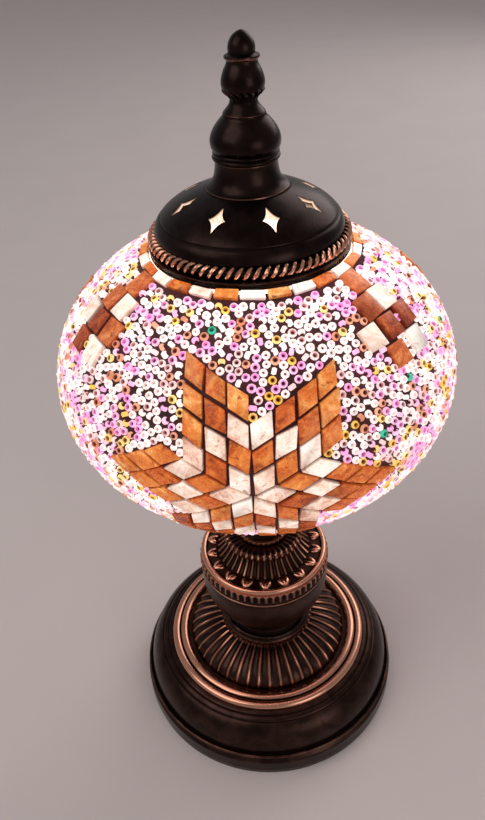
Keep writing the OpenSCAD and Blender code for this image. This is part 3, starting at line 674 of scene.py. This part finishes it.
def opening_cutter(count, turn):
    """Prisms that lean out through the dome, one for each opening."""
    bm = bmesh.new()
    for i in range(count):
        verts = [bm.verts.new((x * MM, y * MM, -7 * MM)) for x, y in lozenge(5.0, 10.4)]
        face = bm.faces.new(verts)
        top = bmesh.ops.extrude_face_region(bm, geom=[face])["geom"]
        raised_verts = [v for v in top if isinstance(v, bmesh.types.BMVert)]
        bmesh.ops.translate(bm, verts=raised_verts, vec=(0, 0, 14 * MM))
        place = (Matrix.Rotation(turn + 2 * math.pi / count * (i + 0.5), 4, "Z")
                 @ Matrix.Translation((0, -(cap_r - 15) * MM,
                                       (cap_low + dome_foot + rise * 0.74) * MM))
                 @ Matrix.Rotation(math.radians(31), 4, "X"))
        bmesh.ops.transform(bm, matrix=place, verts=verts + raised_verts)
    bmesh.ops.recalc_face_normals(bm, faces=bm.faces)
    return bm


cut(cap, opening_cutter(8, math.radians(-4.5)))
cap.data.set_sharp_from_angle(angle=math.radians(40))
heights, radii = [z + cap_low for r, z in cap_line], [r for r, z in cap_line]
layer = cap.data.attributes.new("lit_side", "FLOAT", "POINT")
for v, mark in zip(cap.data.vertices, layer.data):
    r, z = math.hypot(v.co.x, v.co.y) / MM, v.co.z / MM
    inner = cap_low + dome_foot + 0.7 < z < cap_top - 0.6
    mark.value = float(inner and r < np.interp(z, heights, radii) - 0.8)
print("the pierced cap has", len(cap.data.polygons), "faces")

# %% Ring of twisted wire
def twisted_wire(radius, z, strands, turns, reach, thick):
    """Strands that wind round a circle, made as curves and kept as one mesh."""
    bm = bmesh.new()
    for s in range(strands):
        line = bpy.data.curves.new("strand", "CURVE")
        line.dimensions, line.bevel_depth, line.bevel_resolution = "3D", thick * MM, 2
        count = turns * 12
        spline = line.splines.new("POLY")
        spline.points.add(count - 1)
        spline.use_cyclic_u = True
        for i, point in enumerate(spline.points):
            a = 2 * math.pi * i / count
            w = a * turns + 2 * math.pi * s / strands
            r = radius + reach * math.cos(w)
            point.co = (r * math.cos(a) * MM, r * math.sin(a) * MM,
                        (z + reach * math.sin(w)) * MM, 1)
        holder = bpy.data.objects.new("strand", line)
        bm.from_mesh(bpy.data.meshes.new_from_object(holder))
        bpy.data.objects.remove(holder)
    bmesh.ops.recalc_face_normals(bm, faces=bm.faces)
    return bm


rope_low, rope_top, rope_reach = span("cap_rope_ring")
rope_z = (rope_low + rope_top) / 2
rope = twisted_wire(rope_reach - 2.5, rope_z, 2, 37, 1.85, 0.8)
# the wire takes the lighter copper, partly painted highlight where it catches the globe's light
piece(rope, "wound_wire_ring", painted_highlight_copper, "cap", ["cap_rope_ring"])
core = [(rope_reach - 2.5 + 1.3 * math.cos(w), rope_z + 1.3 * math.sin(w))
        for w in np.linspace(0, 2 * math.pi, 16, endpoint=False)]
piece(turned(core), "ring_core", smooth_bronze, "cap", ())

# %% [markdown]
# ## The finial
#
# The finial is a stack on a rod: a flared foot, a bell over two fine rings, an onion bead and
# a pointed tip with a thin rim. It could be one turned piece, but a real one comes apart, and
# separate pieces give true seams between them. The onion's underside is cut into gadroons.

# %% Finial
low, top, _ = span("finial_foot")
h = top - low
flare = ([(ROD_HOLE, 0), (16.4, 0), (16.7, 0.3), (16.6, 0.7)]
         + curve((16.2, 0.9), (13.6, 2.2), (12.5, h * 0.5), (12.3, h - 1.2), 20)
         + [(12.4, h - 0.6), (12.3, h), (ROD_HOLE, h)])
piece(turned(raised(flare, low), 96), "flared_foot", smooth_bronze, "cap", ["finial_foot"])

low, top, _ = span("finial_bell")
h = top - low
bell = ([(ROD_HOLE, 0)] + arc((12.4, 0.9), 0.9, -90, 70, 10) + arc((12.2, 2.6), 0.8, -60, 60, 8)
        + curve((12.7, 3.4), (14.9, 6.4), (13.6, h * 0.66), (8.4, h - 0.7), 24)
        + [(8.2, h), (ROD_HOLE, h)])
piece(turned(raised(bell, low), 96), "ringed_bell", smooth_bronze, "cap", ["finial_bell"])

low, top, _ = span("finial_bead")
h = top - low
onion = ([(ROD_HOLE, 0), (7.9, 0), (8.1, 0.25), (8.0, 0.6)]
         + curve((7.7, 1.0), (6.2, 2.6), (5.2, 3.6), (5.2, h * 0.28), 10)
         + curve((5.9, h * 0.38), (8.6, h * 0.46), (8.7, h * 0.6), (7.2, h * 0.8), 20)
         + curve((6.9, h * 0.84), (6, h * 0.92), (5.7, h * 0.96), (5.7, h), 8) + [(ROD_HOLE, h)])
bead = turned(raised(onion, low), 18 * 8)
onion_low, onion_h = low, h


def gadroons(angle, r, z):
    """Short leaning ridges round the foot of the onion."""
    h = z - onion_low
    fade = window(h, onion_h * 0.34, onion_h * 0.46, 0.8) * (r > 5)
    return 0.75 * fade * (crest(angle + 0.12 * h, 18, 0.6) - 0.2)


piece(pressed(bead, gadroons), "onion_bead", smooth_bronze, "cap", ["finial_bead"])

low, top, _ = span("finial_tip")
h = top - low
ogive = ([(3.02, 0), (5.8, 0), (6.5, 0.7), (6.6, 1.1), (6.4, 1.6), (4.9, 2.3)]
         + curve((5, h * 0.35), (5.1, h * 0.65), (3.2, h * 0.93), (0, h), 20)
         + [(0, 4), (3.02, 4)])
piece(turned(raised(ogive, low), 72), "pointed_tip", smooth_bronze, "cap", ["finial_tip"])

# %% [markdown]
# ## Light through glass
#
# With the bulb lit, tiles and beads are seen by the light that comes through them. To trace
# that through three layers of glass is slow and grainy, so each glass piece gives off its own
# light instead. How much depends on how far it lies from the bulb, as on the real globe: the
# shoulder is nearer than the rim and glows more. The colour comes from the glass itself.

# %% How light falls on the globe
BULB = Vector((0, 0, (span("bulb_glass")[1] - 22) * MM))   # the middle of the bulb's ball
FULL_LIGHT = 0.072        # metres from there at which glass is fully lit
FALL_OFF = 1.8            # a little softer than the square of the distance
MOST_LIGHT = 1.25


def lit(f):
    """How strongly the bulb lights a point: 1 at FULL_LIGHT from it, less further away."""
    away = f.node("VectorMath", {"operation": "SUBTRACT"}, {0: f.place(), 1: tuple(BULB)})
    far = f.node("VectorMath", {"operation": "LENGTH"}, {0: away}, "Value")
    return f.maths("MINIMUM", (FULL_LIGHT / far) ** FALL_OFF, MOST_LIGHT)


GLASS_A, GLASS_C = span("globe_belly")[2], 63.3   # half the glass's width and height
NECK_R, NECK_LEN = 29.0, 19.5
MIDDLE = span("globe_neck")[0] + NECK_LEN + GLASS_C * math.sqrt(1 - (NECK_R / GLASS_A) ** 2)


def outward(p):
    """Direction that faces straight out of the oval globe at a point."""
    a, c = GLASS_A * MM, GLASS_C * MM
    return Vector((p[0] / a ** 2, p[1] / a ** 2, (p[2] - MIDDLE * MM) / c ** 2)).normalized()


print("globe centre", round(MIDDLE, 2), "mm up, bulb at", [round(v, 3) for v in BULB])

# %% [markdown]
# ## Tiles
#
# The tiles are cut from sheet glass with pliers, so no two are alike: each is turned, leaned
# and nipped by a little, and its edges are rounded. The CAD tiles give the pattern. Their
# copies are merged, because CAD meshes are loose triangles, then pushed down into the grout
# and bevelled. Every tile gets a tone of its own, which the glass finish reads.

# %% Cutting the tiles
tile_corners = []


def loose_parts(bm):
    """The vertices of each separate part."""
    parts, seen = [], set()
    for first in bm.verts:
        if first in seen:
            continue
        seen.add(first)
        part, waiting = [], [first]
        while waiting:
            v = waiting.pop()
            part.append(v)
            for edge in v.link_edges:
                other = edge.other_vert(v)
                if other not in seen:
                    seen.add(other)
                    waiting.append(other)
        parts.append(part)
    return parts


def nip(part, rng):
    """Makes one tile look cut by hand, and beds it in the grout."""
    centre = sum((v.co for v in part), Vector()) / len(part)
    up = outward(centre)
    side = up.orthogonal().normalized()
    outer = [v for v in part if (v.co - centre).dot(up) > 0]
    inner = set(part) - set(outer)
    tile_corners.append([v.co.copy() for v in outer])
    turn = Matrix.Rotation(rng.gauss(0, 0.035), 3, up)
    lean = Matrix.Rotation(rng.gauss(0, 0.022), 3,
                           Matrix.Rotation(rng.uniform(0, 6.3), 3, up) @ side)
    grow = rng.uniform(1.0, 1.06)
    slide = (Matrix.Rotation(rng.uniform(0, 6.3), 3, up) @ side) * abs(rng.gauss(0, 0.14)) * MM
    for v in outer:
        under = [e.other_vert(v) for e in v.link_edges if e.other_vert(v) in inner][:1]
        chip = (Matrix.Rotation(rng.uniform(0, 6.3), 3, up) @ side) * abs(rng.gauss(0, 0.24)) * MM
        for w in [v] + under:
            w.co = centre + turn @ lean @ ((w.co - centre) * grow) + slide + chip
    for v in inner:
        v.co -= up * 1.2 * MM


def hand_cut(node, name, finish, seed):
    """A CAD node's tiles, cut by hand."""
    rng = random.Random(seed)
    bm = bmesh.new()
    bm.from_mesh(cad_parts[node].data)
    bmesh.ops.remove_doubles(bm, verts=bm.verts, dist=1e-6)
    bmesh.ops.dissolve_limit(bm, angle_limit=math.radians(12), verts=bm.verts, edges=bm.edges)
    for part in loose_parts(bm):
        nip(part, rng)
    bmesh.ops.bevel(bm, geom=list(bm.edges), offset=0.38 * MM, offset_type="OFFSET", segments=2,
                    profile=0.5, affect="EDGES", material=-1, clamp_overlap=True)
    # face is 1 on a tile's top and falls to 0 down its sides, where the painted glow is faint
    tone, face = bm.verts.layers.float.new("tone"), bm.verts.layers.float.new("face")
    for part in loose_parts(bm):
        shade = rng.random()
        centre = sum((v.co for v in part), Vector()) / len(part)
        up = outward(centre)
        top = max((v.co - centre).dot(up) for v in part)
        for v in part:
            v[tone] = shade
            v[face] = max(0.0, 1 - (top - (v.co - centre).dot(up)) / (0.55 * MM))
    return piece(bm, name, finish, "globe", [node], 50)


def sheet_glass(name, stops, speck, glow):
    """Mottled sheet glass lit from behind: its light is a painted glow, and a paler colour higher
    up.
    """
    f = Finish(name)
    cloud = f.noise(6.5, 4, 1.4)
    streak = f.noise(1.7, 5, 2.2)
    # high makes the glass paler up the globe: painted light, stronger on the shoulder nearer the
    # bulb
    high = f.node("SeparateXYZ", {}, {"Vector": f.place()}, "Z") - MIDDLE * MM
    shade = 0.36 * f.painted("tone") + 0.95 * cloud + 0.65 * (streak - 0.5) - 0.18 + 2.4 * high
    colour = f.node("ValToRGB", {"stops": stops}, {"Fac": shade}, "Color")
    dirt = f.mask(f.noise(2.6, 6, 0.8), 0.60, 0.72)
    colour = f.blend(colour, speck, 0.75 * dirt)
    # the emission is painted light from the bulb, full on each tile's top face and faint down its
    # sides
    return f.surface(Base_Color=colour, Roughness=0.16 + 0.2 * streak,
                     Emission_Color=f.dim(colour, lit(f) * (0.1 + 0.9 * f.painted("face"))),
                     Emission_Strength=glow, Normal=f.relief(cloud + 0.4 * streak, 0.35))


amber_glass = sheet_glass("amber sheet glass",
                          [(0.18, (0.30, 0.040, 0.008)), (0.42, (0.60, 0.115, 0.018)),
                           (0.66, (0.80, 0.260, 0.052)), (0.92, (1.0, 0.58, 0.22))],
                          (0.20, 0.03, 0.01), 0.95)
russet_glass = sheet_glass("russet sheet glass",
                           [(0.22, (0.15, 0.020, 0.008)), (0.50, (0.36, 0.062, 0.016)),
                            (0.78, (0.56, 0.135, 0.036)), (1.0, (0.80, 0.30, 0.10))],
                           (0.10, 0.015, 0.008), 0.95)
opal_glass = sheet_glass("opal sheet glass",
                         [(0.15, (0.66, 0.32, 0.22)), (0.38, (0.90, 0.62, 0.48)),
                          (0.60, (1.0, 0.87, 0.76)), (0.90, (1.0, 0.97, 0.92))],
                         (0.46, 0.20, 0.14), 1.05)
seed = 1
for place in ("star", "cluster", "collar", "lower"):
    for tint in ("white", "amber"):
        dark = russet_glass if place == "cluster" else amber_glass
        glass = opal_glass if tint == "white" else dark
        hand_cut(f"{place}_tiles_{tint}", f"{place}_tiles_{tint}_cut", glass, seed)
        seed += 1
print(len(tile_corners), "tiles cut")

# %% [markdown]
# ## Grout
#
# Tiles and beads are bedded in a dark red-brown paste. It is one skin, turned like the metal,
# from just over the glass to the middle of the beads. Its inner face is lit by the bulb
# through the glass, so it carries a painted number that tells the finish which side it is; the
# finish paints that light on as a strong glow. The outer face gets a faint painted glow, for
# the light that leaks out between the beads.

# %% Grout skin
def oval(extra, r_low, r_high, n=90):
    """Outline of the globe that far outside the glass, from one radius to another."""
    a, c = GLASS_A + extra, GLASS_C + extra
    return [(a * math.cos(t), MIDDLE + c * math.sin(t))
            for t in np.linspace(-math.acos(r_low / a), math.acos(r_high / a), n + 1)]


cup_r = span("gallery_cup")[2] - 0.9
skin_low, skin_high = cup_r + 1.6, cap_r + 1.0
skin = turned(oval(1.35, skin_low, skin_high) + oval(0.32, skin_low, skin_high)[::-1], 160)
inner_face = skin.verts.layers.float.new("inner_face")
for v in skin.verts:
    r, z = math.hypot(v.co.x, v.co.y) / MM, v.co.z / MM - MIDDLE
    v[inner_face] = float(math.hypot(r / (GLASS_A + 0.8), z / (GLASS_C + 0.8)) < 1)

paste = Finish("dark grout")
grit = paste.noise(1.3, 5)
haze = paste.noise(24, 3)
earth = paste.blend((0.014, 0.004, 0.004), (0.045, 0.013, 0.013), paste.mask(grit, 0.35, 0.7))
# painted light: a faint glow on the outer face where light leaks between the beads, a strong one on
# the inner face for the bulb
painted_leak_glow = paste.blend((0.030, 0.005, 0.006), (0.11, 0.022, 0.026), paste.mask(haze, 0.3, 0.7))
glow = paste.blend(paste.dim(painted_leak_glow, 0.55 * lit(paste)), (2.6, 1.9, 1.6),
                   paste.mask(paste.painted("inner_face"), 0.4, 0.6))
piece(skin, "grout_skin", paste.surface(Base_Color=earth, Roughness=0.8, Emission_Color=glow,
                                        Emission_Strength=1.0, Normal=paste.relief(grit, 0.3)),
      "globe", ())

# %% [markdown]
# ## Seed beads
#
# About 4,000 seed beads fill the ground between the tiles. They are strewn by throwing darts:
# a random point is kept if it is far enough from every bead and tile. Rounds of pushing
# neighbours apart then pack them as tightly as a hand would. Most lie with their hole
# outwards and some on their side. Two beads are modelled, with 45 faces each, and copied.

# %% Where the beads lie
def covered(corners, n=9):
    """Points all over a tile, from its corners in any order."""
    centre = sum(corners, Vector()) / len(corners)
    up = outward(centre)
    side = up.orthogonal().normalized()
    across = up.cross(side)
    a, b, c, d = sorted(corners, key=lambda p: math.atan2((p - centre).dot(side),
                                                          (p - centre).dot(across)))
    return [a.lerp(b, u).lerp(d.lerp(c, u), v) for u in np.linspace(0, 1, n)
            for v in np.linspace(0, 1, n)]


def near_tree(points):
    """A tree that finds neighbours quickly."""
    tree = KDTree(len(points))
    for i, p in enumerate(points):
        tree.insert(p, i)
    tree.balance()
    return tree


BED = 1.7                 # mm from the glass to the middle of the beads
TILE_ROOM = 1.75 * MM     # how far a bead's middle is kept from a tile
bed_a, bed_c = (GLASS_A + BED) * MM, (GLASS_C + BED) * MM
top_r, foot_ring_r = span("collar_tiles_white")[2] + 0.9, span("lower_tiles_white")[2] + 0.9


def bedded(p):
    """The nearest place on the bead bed, good enough for small moves."""
    x, y, z = p[0] / bed_a, p[1] / bed_a, (p[2] - MIDDLE * MM) / bed_c
    size = math.sqrt(x * x + y * y + z * z)
    return Vector((x / size * bed_a, y / size * bed_a, z / size * bed_c + MIDDLE * MM))


tile_points = near_tree([bedded(p) for corners in tile_corners for p in covered(corners)])


def free(p, room):
    """True if a bead may lie there."""
    edge = top_r if p[2] > MIDDLE * MM else foot_ring_r
    return math.hypot(p[0], p[1]) > (edge + room) * MM and tile_points.find(p)[2] > room * MM


def strewn(gap, tries, seed):
    """Dart throwing: random places on the bed, none closer than gap."""
    throw = np.random.default_rng(seed).normal(size=(tries, 3))
    throw /= np.linalg.norm(throw, axis=1)[:, None]
    cells, kept = {}, []
    for x, y, z in throw:
        p = Vector((x * bed_a, y * bed_a, z * bed_c + MIDDLE * MM))
        key = tuple(int(math.floor(v / gap)) for v in p)
        near = (q for i in (-1, 0, 1) for j in (-1, 0, 1) for k in (-1, 0, 1)
                for q in cells.get((key[0] + i, key[1] + j, key[2] + k), ()))
        if all((p - q).length > gap for q in near) and free(p, 1.25):
            cells.setdefault(key, []).append(p)
            kept.append(p)
    return kept


def packed(points, gap, rounds):
    """Pushes near neighbours apart, and off the tiles."""
    for _ in range(rounds):
        tree = near_tree(points)
        moved = []
        for i, p in enumerate(points):
            push = Vector()
            for q, j, far in tree.find_range(p, gap):
                if j != i and far > 0:
                    push += (p - q) / far * (gap - far) * 0.42
            q, _, far = tile_points.find(p)
            if far < TILE_ROOM:
                push += (p - q) / max(far, 1e-6) * (TILE_ROOM - far)
            there = bedded(p + push)
            moved.append(there if free(there, 0.7) else p)
        points = moved
    return points


places = packed(strewn(2.68 * MM, 150000, 11), 3.42 * MM, 26)
bead_tree = near_tree(places)
room = [bead_tree.find_n(p, 2)[1][2] for p in places]
print(len(places), "beads, median gap", round(float(np.median(room)) / MM, 2), "mm")

# %% One bead and its copies
def bead_shape(hole, plump):
    """A seed bead of radius 1: an oval spun round the hole."""
    bm = bmesh.new()
    half = (1 - hole) / 2
    verts = [bm.verts.new((1 - half + half * math.cos(w), 0, plump * math.sin(w)))
             for w in (2 * math.pi * i / 5 for i in range(5))]
    edges = [bm.edges.new(pair) for pair in zip(verts, verts[1:] + verts[:1])]
    bmesh.ops.spin(bm, geom=verts + edges, cent=(0, 0, 0), axis=(0, 0, 1), dvec=(0, 0, 0),
                   angle=2 * math.pi, steps=9, use_merge=True)
    bmesh.ops.recalc_face_normals(bm, faces=bm.faces)
    core = bm.verts.layers.float.new("core")
    for v in bm.verts:
        v[core] = float(math.hypot(v.co.x, v.co.y) < 1 - 1.3 * half)
    mesh = bpy.data.meshes.new("one bead")
    bm.to_mesh(mesh)
    bm.free()
    return mesh


def strung(name, finish, chosen, shape, seed):
    """One piece with a copy of the bead at each chosen place."""
    rng = random.Random(seed)
    bm = bmesh.new()
    for i in chosen:
        up = outward(places[i])
        side = Matrix.Rotation(rng.uniform(0, 6.3), 3, up) @ up.orthogonal().normalized()
        on_side = rng.random() < 0.2
        tilt = Matrix.Rotation(math.pi / 2 if on_side else rng.gauss(0, 0.17), 3, side)
        size = min(max(room[i] * 0.53, 1.35 * MM), 1.9 * MM) * rng.uniform(0.88, 1.02)
        if on_side:
            size *= 0.9
        stand = (tilt @ up.to_track_quat("Z", "Y").to_matrix()).to_4x4()
        copy = shape.copy()
        copy.transform(Matrix.Translation(places[i]) @ stand @ Matrix.Scale(size, 4))
        bm.from_mesh(copy)
        bpy.data.meshes.remove(copy)
    per_bead = len(shape.vertices)
    tone = bm.verts.layers.float.new("tone")
    shades = [rng.random() for _ in chosen]
    for n, v in enumerate(bm.verts):
        v[tone] = shades[n // per_bead]
    return piece(bm, name, finish, "globe", (), 80)


def bead_glass(name, pale, deep, hole, glow):
    """Glass bead lit from behind, its light a painted glow: tones between pale and deep, and a hole
    darkened with painted shade.
    """
    f = Finish(name)
    tone = f.painted("tone")
    swirl = f.noise(1.4, 2)
    ring = f.blend(pale, deep, f.mask(tone + 0.35 * (swirl - 0.5), 0.25, 0.95))
    # painted shade: the hole's vertices take the darker hole colour, which also glows less
    body = f.blend(ring, hole, f.painted("core"))
    light = lit(f) * (0.72 + 0.5 * tone)
    return f.surface(Base_Color=body, Roughness=0.12 + 0.12 * swirl,
                     Emission_Color=f.dim(body, light), Emission_Strength=glow,
                     Normal=f.relief(swirl, 0.05))


open_bead, pearl = bead_shape(0.34, 0.62), bead_shape(0.24, 0.64)
# each kind's hole colour is painted shade in the bead's hole
BEADS = [  # name, share of all beads, shape, its pale, deep and hole colours, and its glow
    ("pearl_beads", 0.45, pearl,
     (0.98, 0.92, 0.88), (0.86, 0.70, 0.68), (0.70, 0.48, 0.46), 1.1),
    ("clear_beads", 0.15, open_bead,
     (0.88, 0.74, 0.72), (0.72, 0.50, 0.50), (0.34, 0.12, 0.12), 1.06),
    ("rose_beads", 0.24, open_bead,
     (0.94, 0.60, 0.78), (0.78, 0.34, 0.60), (0.52, 0.13, 0.33), 1.06),
    ("yellow_beads", 0.085, open_bead,
     (0.92, 0.70, 0.28), (0.74, 0.45, 0.08), (0.24, 0.08, 0.01), 1.05),
    ("copper_beads", 0.07, open_bead,
     (0.82, 0.40, 0.26), (0.54, 0.20, 0.11), (0.12, 0.02, 0.01), 1.0),
    ("green_beads", 0.002, open_bead,
     (0.24, 0.72, 0.50), (0.03, 0.42, 0.26), (0.01, 0.12, 0.07), 0.95),
]
rng = random.Random(5)
kinds = rng.choices(range(len(BEADS)), [b[1] for b in BEADS], k=len(places))
for number, (name, _, shape, pale, deep, hole, glow) in enumerate(BEADS):
    chosen = [i for i, kind in enumerate(kinds) if kind == number]
    strung(name, bead_glass(name.replace("_", " "), pale, deep, hole, glow), chosen,
                          shape, 30 + number)
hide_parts("bead_layer")

# %% [markdown]
# ## Pieces that keep their CAD shape
#
# The bulb, its holder, the nuts and washers, the glass and the cup are plain enough that the
# CAD shape is right, so building them again would add nothing. They only need a finish. Plain
# materials still vary: zinc has blotches, cork has grains, felt has fibres, and cast iron has
# a rough skin.

# %% Finishes of the plain pieces
def stock(name, light, dark, grain, shine, metal=0.0, depth=0.05):
    """A material with a light and a dark tone, grain that many mm across, and a fine relief."""
    f = Finish(name)
    patch, fine = f.noise(grain * 6, 3), f.noise(grain, 4)
    tint = f.blend(dark, light, f.mask(0.5 * patch + 0.5 * fine, 0.35, 0.65))
    return f.surface(Base_Color=tint, Metallic=metal, Roughness=shine + 0.15 * (patch - 0.5),
                     Normal=f.relief(fine, depth))


def clear_glass(name, tint, rough):
    """Blown glass with faint waves."""
    f = Finish(name)
    return f.surface(Base_Color=tint, Roughness=rough, Transmission_Weight=1.0, IOR=1.48,
                     Normal=f.relief(f.noise(14, 2), 0.12))


def glowing(name, colour, strength):
    """A frosted surface that glows, a little unevenly."""
    f = Finish(name)
    veil = f.noise(12, 2)
    return f.surface(Base_Color=colour, Roughness=0.35,
                     Emission_Color=f.dim(f.blend(colour, (1.0, 0.72, 0.45), 0.2 * veil), 1.0),
                     Emission_Strength=strength)


zinc = stock("zinc plate", (0.62, 0.61, 0.58), (0.42, 0.41, 0.39), 1.5, 0.34, 1.0)
plain_finishes = {
    "felt_pad": stock("black felt", (0.055, 0.048, 0.044), (0.02, 0.018, 0.016), 0.5, 0.92,
                      depth=0.3),
    "weight_disc": stock("cast iron", (0.10, 0.10, 0.10), (0.05, 0.05, 0.05), 1.2, 0.62, 0.9, 0.2),
    "cord_grommet": stock("moulded rubber", (0.035, 0.034, 0.033), (0.02, 0.02, 0.02), 0.9, 0.55),
    "gallery_gasket": stock("pressed cork", (0.42, 0.27, 0.15), (0.20, 0.11, 0.06), 1.1, 0.85,
                            depth=0.2),
    "holder_shell": stock("thermoset", (0.80, 0.76, 0.67), (0.70, 0.66, 0.57), 5, 0.32),
    "holder_insulator": stock("glazed ceramic", (0.86, 0.84, 0.78), (0.76, 0.73, 0.66), 4, 0.2),
    "holder_sleeve": stock("plain brass", (0.78, 0.58, 0.26), (0.56, 0.38, 0.15), 1.4, 0.28, 1.0),
    "bulb_insulator": stock("black glass", (0.02, 0.02, 0.022), (0.01, 0.01, 0.01), 3, 0.1),
    "bulb_glass": glowing("lit bulb", (1.0, 0.86, 0.66), 14),
    "bulb_filaments": glowing("filament", (1.0, 0.80, 0.50), 30),
    "globe_neck": clear_glass("blown glass", (0.98, 0.95, 0.92), 0.03),
    "bulb_stem": clear_glass("bulb stem glass", (0.95, 0.97, 0.97), 0.05),
    "gallery_cup": antique_copper,
}
alike = {"gallery_gasket": ["cap_gasket"], "holder_shell": ["holder_ring"],
         "globe_neck": ["globe_bowl", "globe_belly", "globe_shoulder", "globe_lip"],
         "holder_sleeve": ["holder_contact", "gallery_screw_right", "gallery_screw_rear",
                           "gallery_screw_left"]}
for node, others in alike.items():
    plain_finishes.update(dict.fromkeys(others, plain_finishes[node]))
for node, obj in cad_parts.items():
    finish = plain_finishes.get(node, zinc)
    if finish is antique_copper:
        obj.data.attributes.new("wear", "FLOAT", "POINT").data.foreach_set(
            "value", [0.5] * len(obj.data.vertices))
    for slot in obj.material_slots:
        slot.material = finish
print(len(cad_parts), "CAD nodes finished")

# %% [markdown]
# ## Size of the CAD box and of what is shown

# %% Sizes
seen_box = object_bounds()
boxes = {"cad": [list(corner) for corner in cad_box],
         "seen": [list(corner) for corner in seen_box]}
for key, (box_low, box_high) in boxes.items():
    print(key, [round((b - a) / MM, 1) for a, b in zip(box_low, box_high)], "mm")
